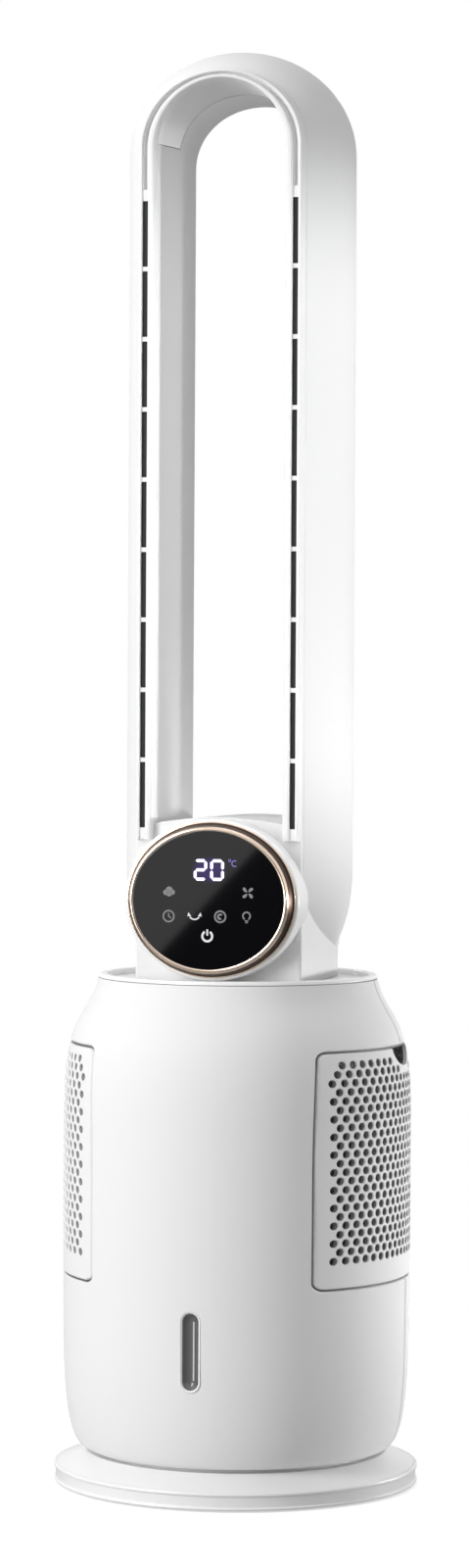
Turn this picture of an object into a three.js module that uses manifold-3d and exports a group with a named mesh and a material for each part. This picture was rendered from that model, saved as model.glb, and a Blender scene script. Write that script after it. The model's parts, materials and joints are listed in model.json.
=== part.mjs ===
// Bladeless tower fan with water-cooled side grilles.
// Millimetres, +Z up, the display and the water window face -Y.
// The origin is on the floor, under the axis that the tower swings about.

import * as THREE from 'three';
import { mergeVertices } from 'three/addons/utils/BufferGeometryUtils.js';
import Module from 'manifold-3d';

const wasm = await Module();
wasm.setup();

// ---------------------------------------------------------------------------
// Driving dimensions
// ---------------------------------------------------------------------------

// Fits shared by all pieces
const CLEARANCE = 0.3; // between pieces that touch or slide
const PANEL_GAP = 1.0; // shadow gap round a removable panel
const WALL = 2.6; // moulded shells
const SPLIT_GAP = 0.3; // between two halves of a shell
const ROUND_FACETS = 36; // round the widest turned pieces
const FACET_DEPTH = Math.cos(Math.PI / ROUND_FACETS); // middle of a facet, as a share of the radius

// Base
const BASE_RADIUS = 125;
const BASE_LIFT = 1.5; // underside above the floor
const BASE_RIM_HEIGHT = 11.3;
const BASE_CONE_RADIUS = 101; // where the coned top reaches its flat
const BASE_CONE_RISE = 10.6;
const BASE_EDGE = 2.2; // rounding of the rim
const BASE_SKIN = 3;
const FOOT_RING_INSET = 12.5; // middle of the rubber ring inside the rim
const FOOT_RING_WIDTH = 8.4;
const FOOT_RING_HEIGHT = 2.2;
const RING_WALL = 5; // between the cavity and the groove of the ring
const COVER_THICKNESS = 2.4;
const BASE_SCREW_INSET = 13; // from the wall of the cavity
const BASE_SCREWS = 4;
const SCREW_RADIUS = 1.9;
const SCREW_HEAD_RADIUS = 3.6;
const SCREW_HEAD_HEIGHT = 1.2;
const GLAND_RADIUS = 3.6;
const GLAND_BORE = 2.4;
const GLAND_LENGTH = 15;
const GLAND_WALL = 1.2; // between its hole and the groove of the rubber ring

// Swing drive
const SPINDLE_RADIUS = 12;
const SPINDLE_BORE = 7;
const SPINDLE_FLANGE_RADIUS = 26;
const SPINDLE_FLANGE_THICKNESS = 2.8;
const SPINDLE_RISE = 27; // above the flat of the base
const GEAR_MODULE = 1.5;
const GEAR_TEETH = 60;
const PINION_TEETH = 14;
const GEAR_THICKNESS = 5.6;
const GEAR_BORE = 30;
const TOOTH_SHARE = 0.42; // of the pitch, so that the pair has backlash
const SWING_RANGE = 40; // degrees each way
const GLIDE_RADIUS = 89; // middle of the sliding ring
const GLIDE_WIDTH = 8;
const GLIDE_THICKNESS = 4;
const SWING_MOTOR_RADIUS = 21;
const SWING_MOTOR_HEIGHT = 17;
const PINION_SHAFT_RADIUS = 4;

// Body of the tower; heights are above the foot of the body
const FOOT_GAP = 1; // between the base and the body that turns on it
const BODY_HEIGHT = 322.6;
const BODY_RADIUS = 119.3;
const BODY_FOOT_RADIUS = 101.5;
const BODY_TOP_RADIUS = 95.4;
const FOOT_CURVE_HEIGHT = 80.6;
const SHOULDER_HEIGHT = 92;
const RIM_SEAM = 1.7; // the shells stop this far below the rim
const FLOOR_HEIGHT = 7.2; // underside of the swing chassis
const FLOOR_THICKNESS = 3;

// Side grilles
const GRILLE_BOTTOM = 120.4;
const GRILLE_HEIGHT = 156.5;
const GRILLE_HALF_BOTTOM = 89; // half width at the bottom edge, across the front-rear direction
const GRILLE_HALF_TOP = 82.5;
const GRILLE_CORNER = 5;
const NOTCH_HALF_WIDTH = 20;
const NOTCH_DEPTH = 12.5;
const HOLE_ROWS = 10;
const HOLE_COLUMNS = 8;
const HOLE_RADIUS = 5.8;
const HOLES_ROUND = 30; // how many holes would fill a whole turn of the body
const HOLE_MARGIN_BOTTOM = 15.5;
const HOLE_MARGIN_TOP = 11.5;

// Water window and tank
const WINDOW_WIDTH = 14;
const WINDOW_HEIGHT = 54;
const WINDOW_MIDDLE = 80.2;
const WINDOW_BORDER = 1.5;
const LENS_THICKNESS = 2;
const TANK_BOTTOM = 38;
const TANK_HEIGHT = 64;
const TANK_HALF_WIDTH = 57.5;
const TANK_WALL = 2.4;
const TRAY_THICKNESS = 2.4;
const TRAY_LEG_RADIUS = 4;
const FASCIA_MARGIN = 3; // of the drawer front beside the tank
const FASCIA_RISE = 13; // above the tank, where the finger grip is
const GRIP_HALF_WIDTH = 22;
const GRIP_DEPTH = 11;
const PUMP_RADIUS = 14;
const PUMP_HEIGHT = 30;
const PIPE_GAP = 2.5; // from the cross pipe to the frame of a pad
const PIPE_RADIUS = 3.2;
const NOZZLE_RADIUS = 2;

// Wet pads behind the grilles
const PAD_THICKNESS = 14;
const PAD_BEHIND_DUCT = 4.5; // from the bell mouth of the duct
const PAD_CORNER_GAP = 7.4; // from the outer corner of its frame to the shell
const PAD_FLUTES = 12;
const FLUTE_DEPTH = 2.4;
const FRAME_BAR = 4;
const PAD_BOTTOM_LIFT = 5; // pad frame above the lower edge of the grille
const PAD_HEADROOM = 3.6; // from the trough above it to the mid plate
const TROUGH_HEIGHT = 8;
const TROUGH_WALL = 1.6;

// Blower
const DUCT_RADIUS = 56; // inside
const DUCT_WALL = 2.5;
const DUCT_HEIGHT = 104;
const BELLMOUTH = 5;
const TIP_GAP = 1.6;
const BLADES = 7;
const BLADE_CHORD = 40;
const BLADE_THICKNESS = 2;
const BLADE_ANGLE_ROOT = 52;
const BLADE_ANGLE_TIP = 34;
const HUB_RADIUS = 26;
const HUB_HEIGHT = 34;
const SHAFT_RADIUS = 3;
const MOTOR_RADIUS = 23;
const MOTOR_HEIGHT = 36;
const BEARING_RADIUS = 8;
const BEARING_THICKNESS = 4;
const VANES = 7;
const VANE_THICKNESS = 1.8;
const DIFFUSER_WALL = 2;
const MID_PLATE_THICKNESS = 3;
const MID_PLATE_BELOW_RIM = 45;

// Deck under the loop
const RIM_WIDTH = 5.4;
const RIM_RISE = 1.4; // rim above the body outline
const DECK_BELOW_RIM = 2.6;
const DECK_THICKNESS = 2.8;

// Neck and loop; heights are above the deck
const NECK_HALF_WIDTH = 58;
const NECK_FRONT_Y = -54;
const LOOP_REAR_Y = 59;
const NECK_CORNER = 8;
const SADDLE_HEIGHT = 111.6;
const SADDLE_RADIUS = 235;
const LOOP_HEIGHT = 633.8;
const LIP_RADIUS = 45.5; // half of the opening at the front lips
const REAR_DRAFT = 3.5; // how much narrower each side is at the rear
const CREASE_OFFSET = 11.9; // from the lip to the crease beside the slots
const CREASE_Y = -53;
const LIP_Y = -60.2;
const BEAD_Y = -57;
const VALLEY_Y = -55.5;
const LOOP_SPLIT_Y = -51.5;
const BULGE = 19.8; // of the outer wall beyond the crease
const CROWN_SQUEEZE = 0.5; // front border at the top of the arch, as a share of its width
const REAR_ROUNDING = 8;
const TONGUE_TIP = 20.5; // lowest point of the bulge, above the deck
const TONGUE_FULL = 70.5; // where the bulge is whole
const TONGUE_Y = 20;
const BEAD_START = 96.5;
const SLOT_WIDTH = 4;
const SLOT_OFFSET = 6.8; // middle of the slots from the lip
const SLOT_COUNT = 9;
const SLOT_LENGTH = 44.3;
const SLOT_BRIDGE = 3;
const SLOT_BOTTOM = 104.4;
const GROOVE_GAP = 7.6; // between the last slot and the groove round the arch
const GROOVE_WIDTH = 3;
const GROOVE_DEPTH = 1.4;
const LINER_THICKNESS = 1.4;
const LINER_REAR_Y = 3;
const LINER_DROP = 2; // how far the arch liner reaches below the middle of the arch
const ARC_STEPS = 5;
const ARCH_STEPS = 16;

// Display on the front of the neck
const DISPLAY_HEIGHT = 56.8;
const DISPLAY_HALF_WIDTH = 60.5;
const DISPLAY_HALF_HEIGHT = 54.5;
const DISPLAY_FRONT_Y = -71.5;
const DISPLAY_WRAP_Y = -44; // how far its sides reach back past the front of the neck
const DISPLAY_WALL = 2.1;
const BEZEL_RISE = 8.5;
const BEZEL_WIDTH = 5.6;
const GLASS_THICKNESS = 2;
const BOARD_THICKNESS = 1.6;
const CABLE_HOLE_RADIUS = 7;

// Heights that follow from the sizes above
const BASE_RIM_TOP = BASE_LIFT + BASE_RIM_HEIGHT;
const BASE_TOP = BASE_RIM_TOP + BASE_CONE_RISE;
const BODY_FOOT = BASE_TOP + FOOT_GAP;
const FLOOR_TOP = FLOOR_HEIGHT + FLOOR_THICKNESS;
const SHELL_TOP = BODY_HEIGHT - RIM_SEAM;
const GRILLE_TOP = GRILLE_BOTTOM + GRILLE_HEIGHT;
const MID_PLATE_BOTTOM = BODY_HEIGHT - MID_PLATE_BELOW_RIM;
const MID_PLATE_TOP = MID_PLATE_BOTTOM + MID_PLATE_THICKNESS;
const DECK_TOP = BODY_HEIGHT - DECK_BELOW_RIM;
const DECK_BOTTOM = DECK_TOP - DECK_THICKNESS;
const NECK_FOOT = DECK_TOP + CLEARANCE;
const ARCH_MIDDLE = LOOP_HEIGHT - LIP_RADIUS - CREASE_OFFSET * CROWN_SQUEEZE - BULGE;
const TANK_TOP = TANK_BOTTOM + TANK_HEIGHT;
const PAD_BOTTOM = GRILLE_BOTTOM + PAD_BOTTOM_LIFT + FRAME_BAR + CLEARANCE;
const PAD_TOP = MID_PLATE_BOTTOM - PAD_HEADROOM - TROUGH_HEIGHT - CLEARANCE;
const DUCT_REACH = DUCT_RADIUS + DUCT_WALL + BELLMOUTH;
const PAD_INNER_X = DUCT_REACH + PAD_BEHIND_DUCT;
const PAD_OUTER_X = PAD_INNER_X + PAD_THICKNESS;
const PAD_CORNER_RADIUS = BODY_RADIUS - WALL - PAD_CORNER_GAP;
const PAD_FRAME_END = Math.sqrt(PAD_CORNER_RADIUS ** 2 - PAD_OUTER_X ** 2);
const PAD_HALF_WIDTH = PAD_FRAME_END - FRAME_BAR - CLEARANCE;
const PUMP_Y = -Math.max(PAD_FRAME_END + PIPE_GAP, DUCT_REACH + CLEARANCE) - PIPE_RADIUS;
const GEAR_RADIUS = GEAR_MODULE * GEAR_TEETH / 2;
const PINION_DISTANCE = GEAR_MODULE * (GEAR_TEETH + PINION_TEETH) / 2;

// ---------------------------------------------------------------------------
// Finishes
// ---------------------------------------------------------------------------

const finish = (color, roughness, metalness = 0) => () =>
  new THREE.MeshStandardMaterial({ color, roughness, metalness });
const whiteShell = finish(0xf1f1f0, 0.32);
const whiteTrim = finish(0xf7f7f6, 0.28);
const greyInner = finish(0xc9cbcc, 0.5);
const darkPlastic = finish(0x2c2d2f, 0.55);
const rubber = finish(0x2a2a2a, 0.9);
const steel = finish(0xb9bcc0, 0.35, 0.9);
const gearPlastic = finish(0xe6e2d6, 0.5);
const padPaper = finish(0x8d9184, 0.95);
const clearPlastic = finish(0xdfe9ee, 0.1);
const roseGold = finish(0xd9a58a, 0.22, 1);
const blackGlass = finish(0x0b0b0d, 0.06);
const circuitBoard = finish(0x2d6b43, 0.6);

// ---------------------------------------------------------------------------
// Solids from three.js geometry
// ---------------------------------------------------------------------------

function signedVolume(position, corners) {
  const a = new THREE.Vector3();
  const b = new THREE.Vector3();
  const c = new THREE.Vector3();
  let volume = 0;
  for (let i = 0; i < corners.length; i += 3) {
    a.fromArray(position, 3 * corners[i]);
    b.fromArray(position, 3 * corners[i + 1]);
    c.fromArray(position, 3 * corners[i + 2]);
    volume += a.dot(b.cross(c)) / 6;
  }
  return volume;
}

// A closed geometry as a solid. Faces are turned outwards if the outline ran the other way.
function solid(geometry) {
  const bare = geometry.clone();
  bare.deleteAttribute('normal');
  bare.deleteAttribute('uv');
  const merged = mergeVertices(bare, 1e-4);
  const position = merged.attributes.position.array;
  const index = merged.index.array;
  const corners = [];
  for (let i = 0; i < index.length; i += 3) {
    const [a, b, c] = [index[i], index[i + 1], index[i + 2]];
    if (a !== b && b !== c && c !== a) corners.push(a, b, c);
  }
  if (signedVolume(position, corners) < 0) corners.reverse();
  return new wasm.Manifold(new wasm.Mesh({
    numProp: 3,
    vertProperties: Float32Array.from(position),
    triVerts: Uint32Array.from(corners),
  }));
}

function geometryOf(body) {
  const mesh = body.getMesh();
  const geometry = new THREE.BufferGeometry();
  geometry.setAttribute('position', new THREE.BufferAttribute(mesh.vertProperties, 3));
  geometry.setIndex(new THREE.BufferAttribute(mesh.triVerts, 1));
  geometry.computeVertexNormals();
  return geometry;
}

const joined = (bodies) => bodies.reduce((all, next) => all.add(next));

// A closed outline of [radius, height] pairs turned about Z
function revolved(outline, segments = 24) {
  const profile = outline.map(([radius, height]) => new THREE.Vector2(radius, height));
  profile.push(profile[0].clone());
  return solid(new THREE.LatheGeometry(profile, segments).rotateX(Math.PI / 2));
}

const ring = (inner, outer, bottom, top, segments = 24) =>
  revolved([[inner, bottom], [outer, bottom], [outer, top], [inner, top]], segments);

function rod(radius, bottom, top, segments = 16) {
  const geometry = new THREE.CylinderGeometry(radius, radius, top - bottom, segments);
  return geometry.rotateX(Math.PI / 2).translate(0, 0, (top + bottom) / 2);
}

function rodBetween(from, to, radius, segments = 10) {
  const start = new THREE.Vector3(...from);
  const along = new THREE.Vector3(...to).sub(start);
  const geometry = new THREE.CylinderGeometry(radius, radius, along.length(), segments);
  geometry.translate(0, along.length() / 2, 0);
  const turn = new THREE.Quaternion().setFromUnitVectors(
    new THREE.Vector3(0, 1, 0), along.clone().normalize());
  return solid(geometry.applyQuaternion(turn).translate(...from));
}

function block([x0, y0, z0], [x1, y1, z1]) {
  const geometry = new THREE.BoxGeometry(x1 - x0, y1 - y0, z1 - z0);
  return solid(geometry.translate((x0 + x1) / 2, (y0 + y1) / 2, (z0 + z1) / 2));
}

// Prisms of a shape: up along Z, out along X, or from a rear to a front Y
function upright(shape, bottom, top, curveSegments = 8) {
  const options = { depth: top - bottom, bevelEnabled: false, curveSegments };
  return new THREE.ExtrudeGeometry(shape, options).translate(0, 0, bottom);
}

function sideways(shape, innerX, outerX, curveSegments = 8) {
  const options = { depth: outerX - innerX, bevelEnabled: false, curveSegments };
  const toYZ = new THREE.Matrix4().makeBasis(
    new THREE.Vector3(0, 1, 0), new THREE.Vector3(0, 0, 1), new THREE.Vector3(1, 0, 0));
  return new THREE.ExtrudeGeometry(shape, options).applyMatrix4(toYZ).translate(innerX, 0, 0);
}

function frontal(shape, rearY, frontY, curveSegments = 8) {
  const options = { depth: rearY - frontY, bevelEnabled: false, curveSegments };
  return new THREE.ExtrudeGeometry(shape, options).rotateX(Math.PI / 2).translate(0, rearY, 0);
}

// A polygon with every corner rounded by the same radius
function roundedShape(corners, radius) {
  const shape = new THREE.Shape();
  corners.forEach(([x, y], i) => {
    const corner = new THREE.Vector2(x, y);
    const before = new THREE.Vector2(...corners.at(i - 1)).sub(corner).setLength(radius);
    const after = new THREE.Vector2(...corners[(i + 1) % corners.length]).sub(corner).setLength(radius);
    before.add(corner);
    after.add(corner);
    if (i === 0) shape.moveTo(before.x, before.y);
    else shape.lineTo(before.x, before.y);
    shape.quadraticCurveTo(x, y, after.x, after.y);
  });
  shape.closePath();
  return shape;
}

const rectangle = (halfWidth, bottom, top, radius) => roundedShape(
  [[-halfWidth, bottom], [halfWidth, bottom], [halfWidth, top], [-halfWidth, top]], radius);

// An upright slot with half-round ends
function stadium(width, height) {
  const radius = width / 2;
  const straight = height / 2 - radius;
  const shape = new THREE.Shape();
  shape.absarc(0, straight, radius, 0, Math.PI);
  shape.absarc(0, -straight, radius, Math.PI, 2 * Math.PI);
  shape.closePath();
  return shape;
}

function ellipse(halfWidth, halfHeight, height) {
  const shape = new THREE.Shape();
  shape.absellipse(0, height, halfWidth, halfHeight, 0, 2 * Math.PI);
  return shape;
}

// A skin over stations of equally many points, closed by a cap at both ends
function lofted(stations, place) {
  const count = stations[0].outline.length;
  const position = [];
  for (const station of stations) {
    for (const point of station.outline) position.push(...place(point, station));
  }
  const index = [];
  for (let i = 0; i + 1 < stations.length; i++) {
    for (let j = 0; j < count; j++) {
      const [a, b] = [i * count + j, i * count + (j + 1) % count];
      index.push(a, b, b + count, a, b + count, a + count);
    }
  }
  const last = (stations.length - 1) * count;
  for (const [a, b, c] of THREE.ShapeUtils.triangulateShape(stations[0].outline, [])) index.push(c, b, a);
  for (const [a, b, c] of THREE.ShapeUtils.triangulateShape(stations.at(-1).outline, [])) {
    index.push(last + a, last + b, last + c);
  }
  const geometry = new THREE.BufferGeometry();
  geometry.setAttribute('position', new THREE.Float32BufferAttribute(position, 3));
  geometry.setIndex(index);
  return solid(geometry);
}

function piece(parent, name, body, material, at = [0, 0, 0], turn = 0) {
  const geometry = body instanceof THREE.BufferGeometry ? body : geometryOf(body);
  const mesh = new THREE.Mesh(geometry, material());
  mesh.name = name;
  mesh.position.set(...at);
  mesh.rotation.z = turn;
  parent.add(mesh);
  return mesh;
}

function subgroup(parent, at = [0, 0, 0], turn = 0) {
  const group = new THREE.Group();
  group.position.set(...at);
  group.rotation.z = turn;
  parent.add(group);
  return group;
}

const radians = THREE.MathUtils.degToRad;
const around = (count, start = 0) => Array.from({ length: count }, (_, i) => start + 2 * Math.PI * i / count);

// ---------------------------------------------------------------------------
// Base: coned plate, rubber ring, bottom cover, screws and cord gland
// ---------------------------------------------------------------------------

const RING_OUTER = BASE_RADIUS - FOOT_RING_INSET + FOOT_RING_WIDTH / 2;
const RING_INNER = RING_OUTER - FOOT_RING_WIDTH;
const BASE_CAVITY_RADIUS = RING_INNER - CLEARANCE - RING_WALL;
const BASE_SCREW_CIRCLE = BASE_CAVITY_RADIUS - BASE_SCREW_INSET;
const GLAND_HEIGHT = FOOT_RING_HEIGHT + CLEARANCE + GLAND_WALL + GLAND_RADIUS + CLEARANCE;
const SCREW_HOLE = SCREW_RADIUS + CLEARANCE;
const COVER_BOTTOM = BASE_LIFT + CLEARANCE;
const COVER_TOP = COVER_BOTTOM + COVER_THICKNESS;
const CAVITY_TOP = BASE_TOP - BASE_SKIN;

function basePlate() {
  const coneRun = BASE_RADIUS - BASE_EDGE / 2 - BASE_CONE_RADIUS;
  const coneDrop = BASE_CONE_RISE * Math.max(0, BASE_CAVITY_RADIUS - BASE_CONE_RADIUS) / coneRun;
  const outline = [
    [SPINDLE_BORE, CAVITY_TOP],
    [Math.min(BASE_CONE_RADIUS, BASE_CAVITY_RADIUS) - BASE_SKIN, CAVITY_TOP],
    [BASE_CAVITY_RADIUS, CAVITY_TOP - coneDrop],
    [BASE_CAVITY_RADIUS, BASE_LIFT],
    [RING_INNER - CLEARANCE, BASE_LIFT],
    [RING_INNER - CLEARANCE, FOOT_RING_HEIGHT + CLEARANCE],
    [RING_OUTER + CLEARANCE, FOOT_RING_HEIGHT + CLEARANCE],
    [RING_OUTER + CLEARANCE, BASE_LIFT],
    [BASE_RADIUS - BASE_EDGE, BASE_LIFT],
    [BASE_RADIUS, BASE_LIFT + BASE_EDGE],
    [BASE_RADIUS, BASE_RIM_TOP - BASE_EDGE / 2],
    [BASE_RADIUS - BASE_EDGE / 2, BASE_RIM_TOP],
    [BASE_CONE_RADIUS, BASE_TOP],
    [SPINDLE_BORE, BASE_TOP],
  ];
  const bosses = around(BASE_SCREWS, Math.PI / 4).map((angle) => {
    const boss = ring(SCREW_HOLE, SCREW_HOLE + WALL, COVER_TOP + CLEARANCE, CAVITY_TOP + 1, 8);
    return solid(geometryOf(boss).translate(
      BASE_SCREW_CIRCLE * Math.cos(angle), BASE_SCREW_CIRCLE * Math.sin(angle), 0));
  });
  const cordHole = rodBetween(
    [0, BASE_CAVITY_RADIUS - 2, GLAND_HEIGHT], [0, BASE_RADIUS + 2, GLAND_HEIGHT],
    GLAND_RADIUS + CLEARANCE, 16);
  return joined([revolved(outline, ROUND_FACETS), ...bosses]).subtract(cordHole);
}

function baseCover() {
  const holes = around(BASE_SCREWS, Math.PI / 4).map((angle) => {
    const hole = rod(SCREW_HOLE, 0, COVER_TOP + 1, 8);
    hole.translate(BASE_SCREW_CIRCLE * Math.cos(angle), BASE_SCREW_CIRCLE * Math.sin(angle), 0);
    return solid(hole);
  });
  const plate = rod(BASE_CAVITY_RADIUS - CLEARANCE, COVER_BOTTOM, COVER_TOP, ROUND_FACETS);
  return solid(plate).subtract(joined(holes));
}

// A pan-head screw pointing up, with its head's underside at height 0
function screw(length) {
  return revolved([
    [0, -SCREW_HEAD_HEIGHT],
    [SCREW_HEAD_RADIUS * 0.8, -SCREW_HEAD_HEIGHT],
    [SCREW_HEAD_RADIUS, -SCREW_HEAD_HEIGHT / 2],
    [SCREW_HEAD_RADIUS, 0],
    [SCREW_RADIUS, 0],
    [SCREW_RADIUS, length],
    [0, length + SCREW_RADIUS / 2],
  ], 8);
}

function addBase(parent) {
  piece(parent, 'base_plate', basePlate(), whiteShell);
  piece(parent, 'foot_ring', ring(RING_INNER, RING_OUTER, 0, FOOT_RING_HEIGHT, 36), rubber);
  piece(parent, 'base_cover', baseCover(), greyInner);
  around(BASE_SCREWS, Math.PI / 4).forEach((angle, i) => {
    const at = [
      BASE_SCREW_CIRCLE * Math.cos(angle),
      BASE_SCREW_CIRCLE * Math.sin(angle),
      COVER_BOTTOM - CLEARANCE / 2,
    ];
    piece(parent, `base_screw_${i + 1}`, screw(COVER_THICKNESS + 8), steel, at);
  });
  const gland = ring(GLAND_BORE, GLAND_RADIUS, 0, GLAND_LENGTH, 16);
  const glandMesh = piece(parent, 'cord_gland', gland, rubber, [0, BASE_RADIUS - 0.6, GLAND_HEIGHT]);
  glandMesh.rotation.x = Math.PI / 2;
}

// ---------------------------------------------------------------------------
// Swing drive: fixed gear and spindle on the base, pinion and motor on the tower
// ---------------------------------------------------------------------------

// A gear outline with teeth centred on the given angles and a plain root circle elsewhere
function gearShape(teeth, centres) {
  const pitchRadius = GEAR_MODULE * teeth / 2;
  const addendum = 0.9 * GEAR_MODULE;
  const dedendum = 1.2 * GEAR_MODULE;
  const slope = Math.tan(radians(20));
  const half = TOOTH_SHARE * Math.PI * GEAR_MODULE / 2;
  const tip = pitchRadius + addendum;
  const root = pitchRadius - dedendum;
  const tipAngle = (half - addendum * slope) / tip;
  const rootAngle = (half + dedendum * slope) / root;
  const points = [];
  const put = (radius, angle) => points.push(
    new THREE.Vector2(radius * Math.cos(angle), radius * Math.sin(angle)));
  for (const centre of centres) {
    put(root, centre - rootAngle);
    put(tip, centre - tipAngle);
    put(tip, centre + tipAngle);
    put(root, centre + rootAngle);
  }
  const pitch = 2 * Math.PI / teeth;
  const start = centres.at(-1) + pitch;
  const bare = 2 * Math.PI - pitch * (centres.length + 1);
  const steps = Math.max(0, Math.round(bare / radians(12)));
  for (let i = 0; i < steps; i++) put(root, start + bare * i / steps);
  return new THREE.Shape(points);
}

const GEAR_BOTTOM = BASE_TOP + CLEARANCE;
const GEAR_TOP = GEAR_BOTTOM + GEAR_THICKNESS;

function fixedGear() {
  const pitch = 2 * Math.PI / GEAR_TEETH;
  const each = Math.ceil(radians(SWING_RANGE + 12) / pitch);
  const centres = Array.from({ length: 2 * each + 1 }, (_, i) => Math.PI / 2 + (i - each) * pitch);
  const shape = gearShape(GEAR_TEETH, centres);
  const bore = new THREE.Path();
  bore.absarc(0, 0, GEAR_BORE, 0, 2 * Math.PI, true);
  shape.holes.push(bore);
  return solid(upright(shape, 0, GEAR_THICKNESS, 10));
}

// The pinion has a gap, not a tooth, towards the gear
function pinion() {
  const gap = Math.PI / PINION_TEETH;
  const shape = gearShape(PINION_TEETH, around(PINION_TEETH, -Math.PI / 2 + gap));
  const toMotor = BODY_FOOT + FLOOR_TOP - GEAR_BOTTOM;
  const teeth = solid(upright(shape, 0, GEAR_THICKNESS));
  return teeth.add(solid(rod(PINION_SHAFT_RADIUS, GEAR_THICKNESS - 1, toMotor, 12)));
}

function addSwingBase(parent) {
  const flange = SPINDLE_FLANGE_THICKNESS;
  const spindle = revolved([
    [SPINDLE_BORE, 0],
    [SPINDLE_FLANGE_RADIUS, 0],
    [SPINDLE_FLANGE_RADIUS, flange],
    [SPINDLE_RADIUS, flange],
    [SPINDLE_RADIUS, SPINDLE_RISE],
    [SPINDLE_BORE, SPINDLE_RISE],
  ], 24);
  piece(parent, 'spindle', spindle, steel, [0, 0, BASE_TOP + CLEARANCE]);
  piece(parent, 'swing_gear', fixedGear(), gearPlastic, [0, 0, GEAR_BOTTOM]);
  const glide = ring(
    GLIDE_RADIUS - GLIDE_WIDTH / 2, GLIDE_RADIUS + GLIDE_WIDTH / 2, 0, GLIDE_THICKNESS, 28);
  piece(parent, 'glide_ring', glide, gearPlastic, [0, 0, BASE_TOP + CLEARANCE]);
  const nutBottom = BODY_FOOT + HUB_TOP + CLEARANCE;
  const nutTop = BASE_TOP + CLEARANCE + SPINDLE_RISE - CLEARANCE;
  const nut = solid(rod(SPINDLE_RADIUS + 6, nutBottom, nutTop, 6)).subtract(
    solid(rod(SPINDLE_RADIUS + CLEARANCE, nutBottom - 1, nutTop + 1, 24)));
  piece(parent, 'retaining_nut', nut, steel);
}

// ---------------------------------------------------------------------------
// Body outline, shared by the shells, the grilles, the drawer front and the chassis
// ---------------------------------------------------------------------------

const bodyOutline = (() => {
  const foot = new THREE.CubicBezierCurve(
    new THREE.Vector2(BODY_FOOT_RADIUS, 0),
    new THREE.Vector2(BODY_RADIUS - 6.3, 0),
    new THREE.Vector2(BODY_RADIUS - 0.8, FOOT_CURVE_HEIGHT * 0.26),
    new THREE.Vector2(BODY_RADIUS - 0.5, FOOT_CURVE_HEIGHT));
  const shoulder = new THREE.CubicBezierCurve(
    new THREE.Vector2(BODY_RADIUS - 0.1, BODY_HEIGHT - SHOULDER_HEIGHT),
    new THREE.Vector2(BODY_RADIUS, BODY_HEIGHT - SHOULDER_HEIGHT * 0.23),
    new THREE.Vector2(BODY_TOP_RADIUS + 6.6, BODY_HEIGHT - SHOULDER_HEIGHT * 0.34),
    new THREE.Vector2(BODY_TOP_RADIUS, BODY_HEIGHT));
  const middle = new THREE.Vector2(BODY_RADIUS, (FOOT_CURVE_HEIGHT + BODY_HEIGHT - SHOULDER_HEIGHT) / 2);
  return [...foot.getPoints(4), middle, ...shoulder.getPoints(6)];
})();

// Radius of the body at a height, or half way out along the nearest ends beyond it
function bodyRadius(height) {
  const next = bodyOutline.findIndex((point) => point.y > height);
  if (next === -1) return bodyOutline.at(-1).x;
  const [low, high] = [bodyOutline[Math.max(next - 1, 0)], bodyOutline[Math.max(next, 1)]];
  return THREE.MathUtils.mapLinear(height, low.y, high.y, low.x, high.x);
}

// The wall of the body through the given heights, as a ring
function bodyRing(heights, segments) {
  const outer = heights.map((z) => [bodyRadius(z), z]);
  const inner = outer.map(([radius, z]) => [radius - WALL, z]).reverse();
  return revolved([...outer, ...inner], segments);
}

function bodyShell() {
  const lip = 6;
  const lowest = WALL + 1;
  const outer = bodyOutline.filter((point) => point.y < SHELL_TOP - 1).map((point) => [point.x, point.y]);
  outer.push([bodyRadius(SHELL_TOP), SHELL_TOP]);
  const inner = outer.filter(([, z]) => z > FLOOR_TOP).map(([radius, z]) => [radius - WALL, z]).reverse();
  return revolved([
    ...outer,
    ...inner,
    [bodyRadius(FLOOR_HEIGHT) - WALL, FLOOR_HEIGHT],
    [bodyRadius(lowest) - WALL, lowest],
    [BODY_FOOT_RADIUS - lip, WALL],
    [BODY_FOOT_RADIUS - lip, 0],
  ], ROUND_FACETS);
}

// ---------------------------------------------------------------------------
// Openings in the body and the panels that close them
// ---------------------------------------------------------------------------

const FAR = BODY_RADIUS + 20;
const ledgeX = (margin) => PAD_INNER_X - margin;

// The grille's outline seen from the side, grown by a margin
function grilleShape(margin) {
  return roundedShape([
    [-GRILLE_HALF_BOTTOM - margin, GRILLE_BOTTOM - margin],
    [GRILLE_HALF_BOTTOM + margin, GRILLE_BOTTOM - margin],
    [GRILLE_HALF_TOP + margin, GRILLE_TOP + margin],
    [-GRILLE_HALF_TOP - margin, GRILLE_TOP + margin],
  ], GRILLE_CORNER + margin);
}

const FASCIA_BOTTOM = TANK_BOTTOM - TRAY_THICKNESS - CLEARANCE;
const FASCIA_TOP = TANK_TOP + FASCIA_RISE;
const FASCIA_HALF_WIDTH = TANK_HALF_WIDTH + FASCIA_MARGIN;

function fasciaShape(margin) {
  return rectangle(FASCIA_HALF_WIDTH + margin, FASCIA_BOTTOM - margin, FASCIA_TOP + margin, GRILLE_CORNER + margin);
}

// One hexagonal hole through the wall, on the +X side, at a height and an angle
function grilleHole(height, angle) {
  const reach = 6;
  const hole = new THREE.CylinderGeometry(HOLE_RADIUS, HOLE_RADIUS, WALL + 2 * reach, 6);
  hole.rotateY(Math.PI / 2).rotateZ(Math.PI / 2).translate(bodyRadius(height) - WALL / 2, 0, 0);
  return solid(hole.rotateZ(angle).translate(0, 0, height));
}

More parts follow.
